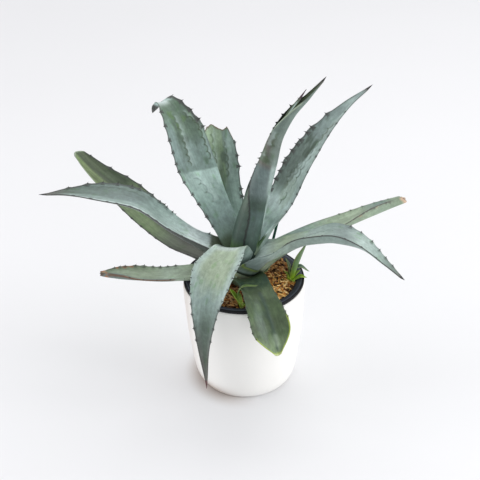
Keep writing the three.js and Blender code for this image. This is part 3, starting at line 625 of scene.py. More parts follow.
def look_front_cut(s):
    # The near-black at the root is painted shadow under the leaves above.
    s.ramp([(0.1, SPINE), (0.25, MOSS), (1.2, INK), (1.8, MOSS), (2.4, MOSS), (3.0, SHADE_GREEN),
        (3.6, MOSS), (4.0, SHADE_GREEN), (4.5, SAGE_DEEP)])
    s.paint(INK, 0.7 * smooth(0.05, 0.6, s.grain(22, 10, 50)))
    s.paint(SLATE, 0.7 * s.blob(3.6, -0.45, 26, 8) + 0.5 * s.blob(2.8, -0.3, 18, 7))
    s.paint(SAGE_DEEP, 0.35 * smooth(0.0, 0.6, s.grain(12, 7, 51, 4)))
    s.paint(MOSS, 0.6 * s.side(0.15, 0.8, 0.15) * s.between(2.6, 4.0, 0.3))
    s.weather((0.88, 0.92, 0.78), 0.26, 0.12)
    # The dark crease is painted shade, with relief of its own.
    crease = s.stroke([(2.0, 0.12), (3.0, 0.16), (4.0, 0.12), (4.7, 0.1)], 3.0, 0.3)
    s.paint(INK, 0.75 * crease)
    s.paint(SAGE, 0.5 * s.blob(4.35, 0.12, 11, 7))
    s.relief = s.relief + 0.8 * crease
    s.rims([(-1, 1.8, 0.6, 1.6, 4.2), (1, 1.8, 0.5, 1.6, 3.6)], MOSS)
    border = np.maximum(s.rim(1, 2.6) * s.after(3.45, 0.12), s.rim(-1, 2.6) * s.after(4.0, 0.12))
    s.paint(LIME, 0.9 * border)
    s.healed(2.6, PALE_LIME, LIME)


def look_bud_outer(s):
    outer = s.lower
    s.ramp([(0.4, INK), (0.75, INK), (1.0, TEAL), (2.1, TEAL_PALE), (2.35, INK), (2.55, INK),
        (2.9, DUSK), (3.75, DUSK), (3.95, GREY_BROWN)], 0.05)
    border = np.interp(s.t, [0.7, 1.8, 2.4, 2.8, 3.2, 3.9, 4.6, 5.4],
        [-0.30, -0.40, -0.41, -0.39, -0.40, -0.44, -0.46, -0.5])
    right = smooth(-0.015, 0.015, s.u - border) * outer
    low = right * smooth(3.1, 2.8, s.t)
    s.paint(PALE, 0.9 * low)
    s.paint(FROST, 0.6 * low * s.between(1.1, 2.2, 0.3))
    s.paint(PALE, 0.75 * outer * smooth(-0.50, -0.42, s.u) * s.between(2.9, 4.4, 0.3))
    high = outer * s.after(3.98, 0.06)
    s.paint(OLIVE, 0.5 * high * (1 - right) * smooth(-0.3, 0.5, s.grain(30, 6, 52)))
    s.paint(SLATE, high * s.after(5.0, 0.25))
    s.paint(SLATE, 0.8 * high * smooth(-0.72, -0.5, s.u))
    s.paint(BLOOM, 0.6 * outer * s.after(6.2, 0.5) * smooth(-0.6, -0.3, s.u))
    s.paint(LEAF_GREEN, 0.95 * s.low_blob(0.75, -0.43, 9, 3.6))
    s.paint(SLATE_GREEN, 0.8 * s.low_blob(1.0, -0.36, 10, 5))
    s.paint(FOOT_GREEN, 0.95 * s.low_blob(0.66, -0.405, 10, 3.4))
    s.paint((0.060, 0.095, 0.042), 0.95 * (1 - outer) * s.after(3.0, 0.4))
    s.paint((0.062, 0.080, 0.072), 0.85 * (1 - outer) * s.between(0.9, 2.9, 0.3))
    s.weather(0.92, 0.20, 0.16)
    chains = [([(4.45, -0.66), (4.15, -0.72), (3.95, -0.92)], 8, 2.8),
        ([(5.2, -0.6), (4.6, -0.62)], 10, 2.4)]
    for chain in chains:
        line, nick, fill = s.chain(*chain, 1.2, 1)
        s.paint(PALE, 0.7 * fill)
        s.paint(MOSS, 0.85 * line + 0.9 * nick)
    s.paint(MOSS, 0.8 * s.low_blob(4.12, -0.74, 6, 7) + 0.6 * s.low_blob(4.5, -0.9, 9, 4))
    # Dark seams along the margins: partly the horny edge, partly painted contact shadow where the
    # leaf wraps.
    s.rims([(-1, 3.4, 1.0, -1, 3.7), (-1, 2.4, 0.9, 3.7, 4.5), (1, 1.6, 0.8, 4.2, 9)], SEAM_MARGIN_AND_SHADOW)
    s.paint(SAGE_PALE, 0.7 * s.rim(-1, 1.6) * s.between(4.6, 6.6))
    s.spine(SPINE, 9, 26)


BUD_AZIMUTH = 32
# Each leaf's azimuth, look, stations and teeth. The teeth are the stations where they stand on the
# side of u = -1 and on the other, and their size on each.
LEAVES = {
    "leaf_right_tall": Leaf(
        38, look_right_tall,
        [[10, 226, 0, 26, 0, 40], [44, 259, 0.4, 23.6, -1, 32], [82, 288, 3, 27, -2, 28],
         [119, 339, 2.0, 25.2, -2, 28], [167, 380, 4.2, 18, -2, 28], [214, 408, 3.4, 8.4, -2, 30],
         [253, 425, 0, 2, -1, 30]],
        ([3.88, 3.47, 3.29, 2.9, 2.52, 2.34, 2.05, 1.7, 4.3, 4.75],
         [4.44, 3.92, 3.75, 3.51, 3.38, 3.19, 2.96, 2.84, 2.62, 2.41, 2.11, 1.75], (4.2, 6.4)),
        tip=13, raised=[(-1, 6.5, -1.0, 0.9)]),
    "leaf_left_tall": Leaf(
        125, look_left_tall,
        [[8, 222, -2, 26, 0, 40], [40, 256, 4, 22, 0, 30], [74, 294, 8.2, 26.2, -1, 25],
         [110, 328, 7.8, 31.8, -4, 25], [145, 381, 6.8, 29.4, -4, 25],
         [185, 414, 8.4, 16.2, -4, 25], [212, 403, 9.0, 8.4, -4, 30], [219, 394, 10, 6.8, -4, 30]],
        ([5.29, 4.80, 4.45, 4.13, 3.93],
         [4.27, 3.86, 3.56, 3.28, 3.08, 2.72, 2.26, 1.93, 1.52, 1.2, 4.7], (6.6, 5.4)),
        tip=15),
    "leaf_left_arching": Leaf(
        172, look_left_arching,
        [[12, 222, 0, 24, 2, 40], [66, 245, -0.5, 19.5, 5, 25], [111, 273, 1.2, 23.8, 2, 25],
         [158, 307, -0.6, 27.6, 0, 25], [215, 319, 0, 23, -5, 25], [264, 320, 0.6, 10.4, -5, 25],
         [300, 315, 0, 2, -3, 25]],
        ([5.10, 4.49, 4.05, 3.66, 3.31, 3.11, 2.77, 2.53, 2.30, 2.09, 0.83],
         [4.81, 4.23, 3.74, 3.49, 3.14, 2.88, 2.64, 2.39, 2.0, 1.6], (4.8, 4.4)),
        tip=14, raised=[(-1, 4.0, -1.0, 0.8)]),
    "leaf_front_drooping": Leaf(
        -116, look_front_drooping,
        [[8, 226, -2, 22, 3, 30], [39, 259, -1, 25, 10, 17], [72, 259, 1.7, 30.7, 6, 17],
         [104, 248, 0.8, 31.8, 1, 17], [125, 207, -2, 22, -2, 20], [136, 145, -2, 10, -2, 30],
         [140, 86, 1, 2, -1, 40]],
        ([1.9, 2.3, 2.7, 3.04, 3.30, 3.50, 3.75, 4.02, 4.28, 4.61, 4.9],
         [1.7, 1.95, 2.15, 2.35, 2.6, 2.9, 3.3, 3.7, 4.0, 4.25, 4.52, 4.85], (3.2, 3.2)),
        tip=20),
    "leaf_right_arching": Leaf(
        -14, look_right_arching,
        [[6, 204, 0, 31, 4, 40], [24, 233, -4, 29, 10, 34], [56, 244, 0, 22, 4, 25],
         [98, 265, 0, 20, -6, 25], [139, 280, -1.2, 21.4, 0, 25], [180, 268, -1, 16.8, 2, 25],
         [217, 237, -0.8, 7.4, 4, 25], [242, 214, 0, 2, 3, 25]],
        ([1.9, 2.5, 3.05, 3.7, 4.41, 5.02, 5.6],
         [4.5, 4.89, 5.31, 5.63, 5.94, 6.36], (2.4, 4.4)),
        tip=7, thickness=BROAD_ROOT, keel=(-1, 6.5, 3.3, 4.6),
        raised=[(-1, 3.0, 2.4, 4.6), (-1, 4.5, 2.2, 2.9), (1, -19.0, 0.6, 1.55),
            (1, -9.0, -1.0, 0.5), (-1, 9.0, -1.0, 0.7)]),
    "leaf_right_straight": Leaf(
        13, look_right_straight,
        [[12, 200, 0, 22, 4, 40], [65, 226.8, 0.2, 18.8, 2, 39], [114, 243, -0.9, 19.9, -1, 39],
         [160, 256, -2, 20, -9, 39], [207, 272, 0, 16, -22, 39], [257, 283, 1, 10.5, -26, 39]],
        ([1.6, 2.4, 3.4, 3.63, 3.9, 4.4],
         [3.02, 3.42, 3.80, 4.18, 4.40, 4.62], (2.0, 2.4)),
        cut_end=[-5, 0, 2, 2, 1, 0, -3], keel=(-1, 6.5, 3.6, 5.4), raised=[(-1, 5.0, 0.4, 1.6)]),
    "leaf_back_cut": Leaf(
        102, look_back_cut,
        [[10, 190, 0, 24, 0, 40], [58, 226, 0, 22, 0, 36], [94, 273, 5.6, 24.4, 0, 33],
         [124, 327, 7.5, 26.5, 0, 33], [148, 371, 6.3, 22.7, 0, 33]],
        ([3.48, 3.05, 2.75, 2.16, 1.96, 1.5],
         [1.4, 1.9, 2.4, 2.8, 3.3, 3.6], (5.8, 3.8)),
        cut_end=[-20, 0, -5, 0.5, 6, 2, -8]),
    "leaf_left_blunt": Leaf(
        148, look_left_blunt,
        [[12, 190, 0, 24, 0, 30], [65, 204, 0, 25, -2, 28], [120, 214, 1, 29, -5, 28],
         [174, 240, 0.5, 31.7, -6, 28], [224, 271, 2, 30, -4, 28], [271, 295, 2.6, 21.5, 0, 28],
         [310, 324, 3.6, 12.4, 4, 20]],
        ([5.67, 4.90, 4.31, 3.84, 3.42, 3.0, 2.6, 2.1, 1.6],
         [3.95, 3.61, 3.29, 2.94, 2.65, 2.43, 1.97, 1.76, 1.4], (4.4, 3.6)),
        cut_end=[-5, 0, 2, 3, 2, -1, -7]),
    "leaf_left_low": Leaf(
        184, look_left_low,
        [[12, 192, 0, 20, 0, 22], [55, 196, 0, 20, -1, 22], [96, 195, 0, 19, -1, 22],
         [131, 195, 0, 18, -1, 22], [165, 200, 0, 17.2, -4, 22], [193, 207, 1, 9.6, -4, 22],
         [218, 208, 0.4, 3.4, -2, 22]],
        ([5.22, 4.93, 4.64, 4.09, 3.68, 3.28, 2.95, 2.6, 2.24],
         [4.4, 3.7, 3.1, 2.5, 1.9], (4.0, 2.4)),
        cut_end=[-4, 1, 2, 0, 1, 2, -3], keel=(1, 6.0, 4.6, 5.9)),
    "leaf_front_cut": Leaf(
        -72, look_front_cut,
        [[13, 189.5, -2, 26, 0, 30], [51, 206, -4, 23, 1, 24], [84, 206, -6, 23, 1, 22],
         [110, 190, -5, 27, 0, 22], [130, 164, -1, 27.6, -3, 22], [149, 138.5, 1.2, 5.2, -7, 20]],
        ([2.2, 2.6, 3.02, 3.40, 3.68, 4.02],
         [2.3, 2.75, 3.03, 3.26, 3.50], (3.2, 3.0)),
        cut_end=[-1.5, -0.5, 0, 0.5, 0.5, 0, -1]),
    "bud_outer_leaf": BudLeaf(
        BUD_AZIMUTH, look_bud_outer,
        [[-4, 224, 0, 19.5, 5.5, 122], [3, 258, 0, 19.2, 5, 126], [15, 294, 0, 18, 4.5, 134],
         [29, 332, 0.8, 16.2, 4, 150], [46.5, 369, 0.3, 11.2, 3.6, 158],
         [62.3, 406, 1.0, 7.9, 3.2, 150], [86.7, 436, 0.8, 5.6, 2.8, 118],
         [116.8, 456, 0.7, 3.6, 2.2, 96], [143, 474, 0, 1.6, 1.4, 70]],
        ([4.28, 4.05, 3.8, 3.61, 3.28, 2.99, 2.65, 2.4, 2.15, 1.8, 1.38, 1.0],
         [6.7, 6.27, 5.82, 5.46, 5.25, 5.02, 4.78, 4.5], (4.6, 6.0)),
        tip=10, raised=[(1, -1.2, 5.0, 6.1)]),
}
# Stations of the bud inside: reach, height and radius.
BUD_INNER = [[-4, 224, 18.6], [3, 258, 18.4], [15, 294, 17.2], [30, 332, 14.2], [46.5, 369, 10.3],
             [62.5, 407, 6.0], [84, 437, 3.2], [106, 459, 1.3]]
BUD_INNER_TIP = 13


class Sheets:
    """Gathers the points, faces and painted values of one piece."""

    def __init__(self):
        self.points, self.faces, self.colours, self.places = [], [], [], []
        self.count = 0

    def add(self, points, faces, colours, places):
        for values, kept in ((points, self.points), (colours, self.colours), (places, self.places)):
            kept.append(np.asarray(values, float).reshape(-1, 3))
        self.faces += [tuple(int(i) + self.count for i in face) for face in faces]
        self.count += len(self.points[-1])

    def add_tube(self, points, colours, places, turned=None):
        """Adds rings of points as a closed tube, whose faces are turned over where need be."""
        faces = tube_faces(*points.shape[:2])
        if turned is None:
            turned = volume_of(points, faces) < 0
        if turned:
            faces = [face[::-1] for face in faces]
        self.add(points, faces, colours, places)

    def made(self, name, material, nodes):
        mesh = bpy.data.meshes.new(name)
        mesh.from_pydata((np.vstack(self.points) * MM).tolist(), [], self.faces)
        colour = mesh.attributes.new("paint", "FLOAT_COLOR", "POINT")
        rgba = np.hstack([np.vstack(self.colours), np.ones((self.count, 1))])
        colour.data.foreach_set("color", rgba.astype(np.float32).ravel())
        place = mesh.attributes.new("place", "FLOAT_VECTOR", "POINT")
        place.data.foreach_set("vector", np.vstack(self.places).astype(np.float32).ravel())
        mesh.polygons.foreach_set("use_smooth", [True] * len(mesh.polygons))
        mesh.materials.append(material)
        mesh.validate()
        mesh.update()
        piece = linked(name, mesh)
        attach(piece, "root")
        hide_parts(*nodes)
        return piece


def linked(name, data):
    item = bpy.data.objects.new(name, data)
    bpy.context.scene.collection.objects.link(item)
    return item


def tube_faces(rings, columns, turned=False):
    """Quads of a tube of rings, turned over if asked, and its two ends."""
    i, j = np.meshgrid(np.arange(rings - 1), np.arange(columns), indexing="ij")
    k = (j + 1) % columns
    quads = [i * columns + j, (i + 1) * columns + j, (i + 1) * columns + k, i * columns + k]
    quads = np.stack(quads[::-1] if turned else quads, -1).reshape(-1, 4).tolist()
    last = (rings - 1) * columns
    return quads + [tuple(range(columns))[::-1], tuple(range(last, last + columns))]


def wheel(right, up, wide, tall, turn):
    """Offsets of the points round an oval of that half width and height."""
    return right * (wide * np.cos(turn))[..., None] + up * (tall * np.sin(turn))[..., None]


def volume_of(points, faces):
    """Six times the volume inside a closed surface, negative where its faces look inwards."""
    p = points.reshape(-1, 3)
    fans = [(f[0], f[j], f[j + 1]) for f in faces for j in range(1, len(f) - 1)]
    a, b, c = (p[list(corner)] for corner in zip(*fans))
    return float(np.sum(a * np.cross(b, c)))


def teeth_of(leaf, draw):
    """(side, station, size, lean) of each tooth."""
    teeth = []
    low, high, sizes = leaf.teeth
    for side, places, size in ((-1, low, sizes[0]), (1, high, sizes[1])):
        for place in places:
            near_tip = 0.55 + 0.45 * smooth(0, 1.5, leaf.last - place)
            if leaf.on_roll and place < FLAT_TEETH:
                near_tip *= 0.5
            grown = size * (0.85 + 0.3 * draw()) * near_tip
            teeth.append((side, place, grown, -0.45 + 0.5 * draw()))
    return teeth


def edge_swell(leaf, t, teeth):
    """How far each margin stands out at t: low mounds under the teeth, hollows between."""
    swell = np.zeros((len(t), 2))
    v = leaf.arc(t)
    for side, place, size, _ in teeth:
        off = (v - leaf.arc(place)) / (0.95 * size)
        swell[:, 0 if side < 0 else 1] += 0.36 * size * np.exp(-(off**2))
    return swell


def clear_of_lip(points):
    """Keeps what lies over the pots' mouth above the lip."""
    over = np.hypot(points[..., 0], points[..., 1]) < CLEAR_RADIUS
    level = points[..., 2]
    lifted = CLEAR_LEVEL + 0.04 * (level - CLEAR_LEVEL)
    points[..., 2] = np.where(over & (level < CLEAR_LEVEL), lifted, level)
    return points


def blade(sheets, leaf, seed, tooth_seed):
    """One leaf's blade, closed at its root, with a spine or a cut end."""
    stations = np.linspace(0, leaf.last, 400)
    length = leaf.arc(leaf.last)
    rings = int(length / RING_STEP)
    t = np.interp(np.linspace(0, length, rings), leaf.arc(stations), stations)
    v = leaf.arc(t)
    frames = leaf.frames(t)
    shrink = np.ones(rings)
    if leaf.tip:
        extra = max(8, int(leaf.tip / TIP_STEP))
        frames, x = lengthened(frames, leaf.tip, extra)
        t = np.concatenate([t, np.full(extra, float(leaf.last))])
        v = np.concatenate([v, length + leaf.tip * x])
        shrink = np.concatenate([shrink, np.maximum((1 - x) ** 0.85, 0.03)])
    centre, heading, across, normal = frames
    curl, half, thick = leaf.curl(t), leaf.half(t) * shrink, leaf.thick(t) * shrink
    line = np.linspace(-1, 1, ACROSS)
    line = 0.45 * line + 0.55 * np.sin(0.5 * math.pi * line)
    u = np.concatenate([line, [1.0], line[::-1], [-1.0]])
    lower = np.repeat([0, 0.5, 1, 0.5], [ACROSS, 1, ACROSS, 1])
    beyond = lower == 0.5
    spots = Spots(leaf, t, u, v, lower, seed)
    leaf.look(spots)
    teeth = teeth_of(leaf, seeded(tooth_seed))
    swell = edge_swell(leaf, t, teeth)
    radius = (half / curl)[:, None]
    push = np.where(u < 0, swell[:, :1], swell[:, 1:]) * np.abs(u) ** 10
    push = push + 0.35 * beyond * shrink[:, None]
    turn, lap = leaf.edges(t, u)
    angle = (curl[:, None] * u + np.sign(u) * push / radius) * turn
    margin = np.minimum(MARGIN_THICKNESS * shrink, thick)[:, None]
    depth = margin + (thick[:, None] - margin) * (1 - np.abs(u) ** 1.8)
    level = np.where(beyond, 0.5 * margin, lower * depth)
    outward = np.where(beyond, 0.0, 2 * lower - 1)
    if leaf.keel:
        side, amount, low, high = leaf.keel
        bulge = np.exp(-(((u - 0.5 * side) / 0.42) ** 2)) * smooth(0, 0.14, 1 - np.abs(u))
        ends = smooth(low - 0.9, low + 0.5, t) * smooth(high + 0.9, high - 0.5, t) * shrink
        level = level + amount * ends[:, None] * bulge * (lower == 1)
    far = radius + level + outward * spots.relief * shrink[:, None] + lap
    away = across[:, None] * np.sin(angle)[..., None] - normal[:, None] * np.cos(angle)[..., None]
    middle = centre if leaf.on_roll else centre + normal * radius
    points = middle[:, None] + away * far[..., None]
    places = [spots.v, np.where(lower == 1, UNDER_SHIFT - spots.w, spots.w), 40.0 * spots.lower]
    places = np.stack(places, -1)
    faces = tube_faces(*angle.shape)
    colour = spots.colour
    if leaf.cut_end:
        wave = np.interp(u, np.linspace(-1, 1, 7), leaf.cut_end) + 0.5 * noise(u * 9, 0, 0, seed)
        reach = smooth(leaf.last - 0.5, leaf.last, t)[:, None] * wave
        points = points + heading[:, None] * reach[..., None]
        points, colour, places, faces = cut_face(points, colour, places, heading[-1], seed)
    sheets.add(clear_of_lip(points), faces, colour, places)
    for tooth in teeth:
        at = int(np.argmin(np.abs(t - tooth[1])))
        tooth_shell(sheets, leaf, tooth, colour[at, 0 if tooth[0] < 0 else ACROSS - 1])


def cut_face(points, colour, places, heading, seed):
    """Rounds a cut end inwards and closes it along its middle."""
    rings, columns = points.shape[:2]
    top = np.arange(ACROSS)
    mate = np.concatenate([2 * ACROSS - top, [ACROSS], top[::-1], [2 * ACROSS + 1]])
    last, plain = points[-1], colour[-1]
    middle = 0.5 * (last + last[mate])
    for share, bulge, tint in ((0.25, 0.5, 0.4), (0.6, 0.5, 0.8), (0.9, -0.5, 1.0)):
        uneven = 0.3 * noise(np.arange(columns) * 0.7, share * 9, 0, seed)
        ring = last + (middle - last) * share + heading * (bulge + uneven)[:, None]
        points = np.concatenate([points, ring[None]])
        dried = blended(plain, GREY_BROWN, np.full(columns, tint * 0.6))
        colour = np.concatenate([colour, dried[None]])
        places = np.concatenate([places, (places[-1] + [0.8, 0, 0])[None]])
    faces = tube_faces(rings + 3, columns)[:-1]
    base = (rings + 2) * columns
    for j in top[:-1]:
        faces.append((base + j + 1, base + mate[j + 1], base + mate[j], base + j))
    faces.append((base + ACROSS - 1, base + ACROSS, base + ACROSS + 1))
    faces.append((base + 2 * ACROSS + 1, base + 2 * ACROSS, base))
    return points, colour, places, faces


def tooth_shell(sheets, leaf, tooth, rim):
    """A hooked, horny tooth on a mound of the margin."""
    side, at, size, lean = tooth
    where = np.array([at])
    centre, heading, across, normal = (a[0] for a in leaf.frames(where))
    curl = leaf.curl(where)[0]
    radius = leaf.half(where)[0] / curl
    turn, lap = (a[0, 0] for a in leaf.edges(where, np.array([float(side)])))
    angle = curl * side * turn
    middle = centre if leaf.on_roll else centre + normal * radius
    away = across * math.sin(angle) - normal * math.cos(angle)
    edge = middle + away * (radius + lap + 0.5 * MARGIN_THICKNESS)
    out = (across * math.cos(angle) + normal * math.sin(angle)) * side
    if leaf.on_roll:
        out = unit(out + away * (1.6 * smooth(3.0, 3.6, at) if side < 0 else 0.5))
    sides, steps = 10, 7
    turn = circle(sides)
    points, paint = [], []
    for f in np.arange(steps + 1) / steps:
        spread = TOOTH_SPREAD * size * (0.52 * (1 - f) ** 1.7 + 0.10 * (1 - f))
        spread, thick = max(spread, 0.05), max(1.1 * (1 - f) ** 0.8 + 0.04, 0.05)
        place = edge + out * (size * (1.0 + TOOTH_ROOT) * f - TOOTH_ROOT * size)
        place = place + heading * (lean * size * f * f)
        points.append(place + wheel(heading, away, spread, thick, turn))
        tone = blended(rim[None], TOOTH_BASE, np.array([smooth(0.12, 0.34, f)]))
        tone = blended(tone, SPINE, np.array([smooth(0.35, 0.55, f)]))
        paint.append(np.repeat(tone, sides, 0))
    points = clear_of_lip(np.array(points))
    sheets.add_tube(points, paint, points, turned=side < 0)


def spindle(material):
    """Inner leaves of the bud, rolled tight: a tapering scroll with a seam."""
    azimuth = math.radians(BUD_AZIMUTH)
    reach, height, radii = np.array(BUD_INNER, float).T
    line = np.stack([reach * math.cos(azimuth), reach * math.sin(azimuth), height], 1)
    t = np.linspace(0, len(line) - 1, 150)
    frames, x = lengthened(frames_along(line, t, azimuth), BUD_INNER_TIP, 12)
    centre, _, level, upper = frames
    radius = spline(radii, t)
    radius = np.concatenate([radius, radius[-1] * np.maximum((1 - x) ** 0.9, 0.04)])
    turn = circle(64)
    v = np.concatenate([[0], np.cumsum(np.linalg.norm(np.diff(centre, axis=0), axis=1))])
    seam = 2.4 + 0.15 * np.sin(v / 40)
    phase = ((turn - seam[:, None]) / WHOLE_TURN) % 1.0
    scroll = 0.25 - 0.5 * phase
    wide = radius[:, None] + 0.3 + 0.25 * scroll * np.minimum(radius, 4)[:, None]
    wide = np.maximum(wide, 0.08)
    points = centre[:, None] + wheel(level[:, None], upper[:, None], wide, wide, turn)
    vv = np.broadcast_to(v[:, None], wide.shape)
    ww = wide * turn
    streak = fractal(vv / 70, ww / 2.6, 0, SEED + 71)
    patch = fractal(vv / 24, ww / 12, 0, SEED + 72)
    far = v.max() - vv
    opening = smooth(86, 78, far) * smooth(20, 26, far)
    pale = smooth(1.95, 2.1, turn) * smooth(2.85, 2.7, turn)
    colour = (1 + 0.35 * streak + 0.3 * patch)[..., None] * DEEP
    for tone, amount in (
        (TEAL, 0.8 * smooth(85, 65, vv)),
        (MAUVE_GREY, (0.35 + 0.5 * smooth(-0.1, 0.6, streak)) * smooth(92, 118, vv)),
        (LEAF_GREEN, 0.75 * smooth(34, 16, vv)),
        (MOSS, 0.8 * np.exp(-((phase * 60) ** 2)) + 0.6 * smooth(180, 215, vv)),
        ((0.034, 0.060, 0.024), 0.95 * opening * (1 - pale)),
        (PALE, 0.9 * opening * pale),
        ((0.055, 0.026, 0.040), smooth(22, 12, far)),
    ):
        colour = blended(colour, tone, amount)
    sheets = Sheets()
    sheets.add_tube(points, colour, np.stack([vv, ww, 0 * vv], -1))
    sheets.made("bud_inner_roll", material, ["bud_inner_leaf"])


class Nodes:
    """Short calls for building a material's node tree."""

    def __init__(self, name):
        self.material = bpy.data.materials.new(name)
        self.material.use_nodes = True
        self.tree = self.material.node_tree
        self.tree.nodes.clear()
        self.shader = self.new("ShaderNodeBsdfPrincipled")
        output = self.new("ShaderNodeOutputMaterial")
        self.set(output.inputs["Surface"], self.shader.outputs["BSDF"])

    def new(self, kind, **values):
        node = self.tree.nodes.new(kind)
        for key, value in values.items():
            setattr(node, key, value)
        return node

    def set(self, socket, value):
        """Links an output to a socket, or gives the socket a value."""
        if isinstance(value, bpy.types.NodeSocket):
            self.tree.links.new(value, socket)
        else:
            socket.default_value = value

    def fed(self, kind, inputs, **values):
        """New node with its inputs linked or set."""
        node = self.new(kind, **values)
        for key, value in inputs.items():
            self.set(node.inputs[key], value)
        return node

    def finished(self, colour, rough, normal=None, shine=0.5):
        values = {"Base Color": colour, "Roughness": rough, "Specular IOR Level": shine}
        if normal:
            values["Normal"] = normal
        for key, value in values.items():
            self.set(self.shader.inputs[key], value)
        return self.material

    def attribute(self, name, output):
        return self.new("ShaderNodeAttribute", attribute_name=name).outputs[output]

    def coordinates(self):
        return self.new("ShaderNodeTexCoord").outputs["Object"]

    def round_the_pot(self):
        """Distance from the pots' axis, share of it towards +X, and the x, y and z of a point."""
        part = self.fed("ShaderNodeSeparateXYZ", {"Vector": self.coordinates()})
        x, y, z = part.outputs
        squares = self.math("ADD", self.math("MULTIPLY", x, x), self.math("MULTIPLY", y, y))
        reach = self.math("SQRT", squares, 0)
        return reach, self.math("DIVIDE", x, reach), x, y, z

    def scaled(self, vector, scale):
        return self.fed("ShaderNodeMapping", {"Vector": vector, "Scale": scale}).outputs[0]

    def noise(self, vector, scale, detail=3.0, rough=0.55):
        inputs = {"Vector": vector, "Scale": scale, "Detail": detail, "Roughness": rough}
        return self.fed("ShaderNodeTexNoise", inputs).outputs["Fac"]

    def remap(self, value, low, high, to_low, to_high):
        inputs = {"Value": value, "From Min": low, "From Max": high, "To Min": to_low,
            "To Max": to_high}
        return self.fed("ShaderNodeMapRange", inputs, interpolation_type="SMOOTHSTEP").outputs[0]

    def math(self, operation, a, b):
        return self.fed("ShaderNodeMath", {0: a, 1: b}, operation=operation).outputs[0]

    def times(self, a, *factors):
        for b in factors:
            a = self.math("MULTIPLY", a, b)
        return a

    def mix(self, amount, a, b, blend="MIX"):
        a, b = ((*c, 1) if isinstance(c, tuple) else c for c in (a, b))
        inputs = {0: amount, 6: a, 7: b}
        return self.fed("ShaderNodeMix", inputs, data_type="RGBA", blend_type=blend).outputs[2]

    def shaded(self, colour, value):
        """Colour multiplied by a grey value."""
        grey = self.fed("ShaderNodeCombineColor", {0: value, 1: value, 2: value}).outputs[0]
        return self.mix(1.0, colour, grey, "MULTIPLY")

    def bump(self, height, distance, strength=1.0, under=None):
        inputs = {"Distance": distance, "Strength": strength, "Height": height}
        if under:
            inputs["Normal"] = under
        return self.fed("ShaderNodeBump", inputs).outputs["Normal"]


def leaf_material(name, rough=0.50, veil=0.10):
    """Painted leaf colour under fine streaks, wax mottling and pores."""
    n = Nodes(name)
    place = n.attribute("place", "Vector")
    streak = n.noise(n.scaled(place, (0.02, 0.36, 0.1)), 1.0, 5.0, 0.6)
    fine = n.noise(n.scaled(place, (0.14, 1.3, 0.1)), 1.0, 3.0, 0.6)
    wax = n.noise(n.scaled(place, (0.13, 0.17, 0.1)), 1.0, 6.0, 0.66)
    pores = n.noise(n.scaled(place, (0.9, 1.3, 0.1)), 1.0, 3.0, 0.6)
    shade = n.times(n.remap(streak, 0.3, 0.7, 0.93, 1.06), n.remap(fine, 0.3, 0.7, 0.96, 1.04),
                    n.remap(pores, 0.3, 0.7, 0.93, 1.06), n.remap(wax, 0.28, 0.72, 0.83, 1.15))
    colour = n.shaded(n.attribute("paint", "Color"), shade)
    colour = n.mix(n.remap(wax, 0.55, 0.78, 0.0, veil), colour, (0.45, 0.55, 0.55))
    under = n.bump(wax, 0.0006, 0.45, n.bump(streak, 0.0005, 0.5))
    rough = n.remap(wax, 0.3, 0.7, rough - 0.07, rough + 0.12)
    return n.finished(colour, rough, n.bump(pores, 0.0002, 0.5, under), 0.42)


def ceramic_material():
    """Cream glaze, with a painted warm shade on the left flank and a painted warm shadow at the
    foot.
    """
    n = Nodes("cream_glaze")
    place = n.coordinates()
    cloud = n.noise(place, 9.0, 3.0, 0.5)
    speck = n.noise(place, 420.0, 2.0, 0.6)
    cream, light = (0.868, 0.862, 0.838), (0.888, 0.882, 0.858)
    colour = n.mix(n.remap(cloud, 0.35, 0.65, 0.0, 1.0), cream, light)
    colour = n.mix(n.remap(speck, 0.70, 0.78, 0.0, 0.18), colour, (0.52, 0.47, 0.40))
    _, right, _, _, z = n.round_the_pot()
    # Painted shade: the left flank turns warm grey, more so higher up.
    flank = n.times(n.remap(right, -0.78, -0.98, 0.0, 0.72), n.remap(z, 0.06, 0.16, 0.75, 1.0))
    colour = n.mix(flank, colour, (0.56, 0.50, 0.46))
    # Painted warm shadow at the foot on the left, where the pot meets the floor.
    foot = n.times(n.remap(z, 0.030, 0.0, 0.0, 0.9), n.remap(right, 0.0, -0.8, 0.0, 1.0))
    colour = n.mix(foot, colour, (0.40, 0.31, 0.25))
    normal = n.bump(speck, 0.00006, 0.4, n.bump(cloud, 0.0006, 0.35))
    return n.finished(colour, n.remap(cloud, 0.3, 0.7, 0.30, 0.40), normal)


def plastic_material(name, tone, light, rough, shine, lip=None):
    n = Nodes(name)
    grain = n.noise(n.coordinates(), 900.0, 2.0, 0.6)
    scuff = n.noise(n.scaled(n.coordinates(), (60.0, 60.0, 260.0)), 1.0, 5.0, 0.7)
    colour = n.mix(n.remap(scuff, 0.50, 0.72, 0.0, 0.6), tone, light)
    colour = n.mix(n.remap(grain, 0.3, 0.7, 0.0, 0.15), colour, light)
    # lip is the tone of the painted sheen on the rim's top.
    if lip:
        colour = painted_lip_sheen(n, colour, lip)
    rough = n.remap(scuff, 0.3, 0.7, rough - 0.06, rough + 0.14)
    return n.finished(colour, rough, n.bump(grain, 0.00008, 0.5), shine)


def painted_lip_sheen(n, colour, lip):
    """Painted sheen on the top of the black rim, with a brighter painted highlight along its
    rounded edge.
    """
    reach, _, _, _, z = n.round_the_pot()
    ribs = n.noise(n.scaled(n.coordinates(), (500.0, 500.0, 20.0)), 1.0, 2.0, 0.6)
    top = n.times(n.remap(z, 0.1788, 0.1812, 0.0, 1.0), n.remap(reach, 0.0906, 0.0916, 1.0, 0.0))
    colour = n.mix(n.times(top, n.remap(ribs, 0.3, 0.7, 0.75, 1.0)), colour, lip)
    # Painted highlight along the rim's rounded edge.
    ring = n.times(n.remap(reach, 0.0878, 0.0888, 0.0, 0.8),
        n.remap(reach, 0.0914, 0.0904, 0.0, 1.0))
    return n.mix(n.times(top, ring), colour, tuple(2.2 * c for c in lip))


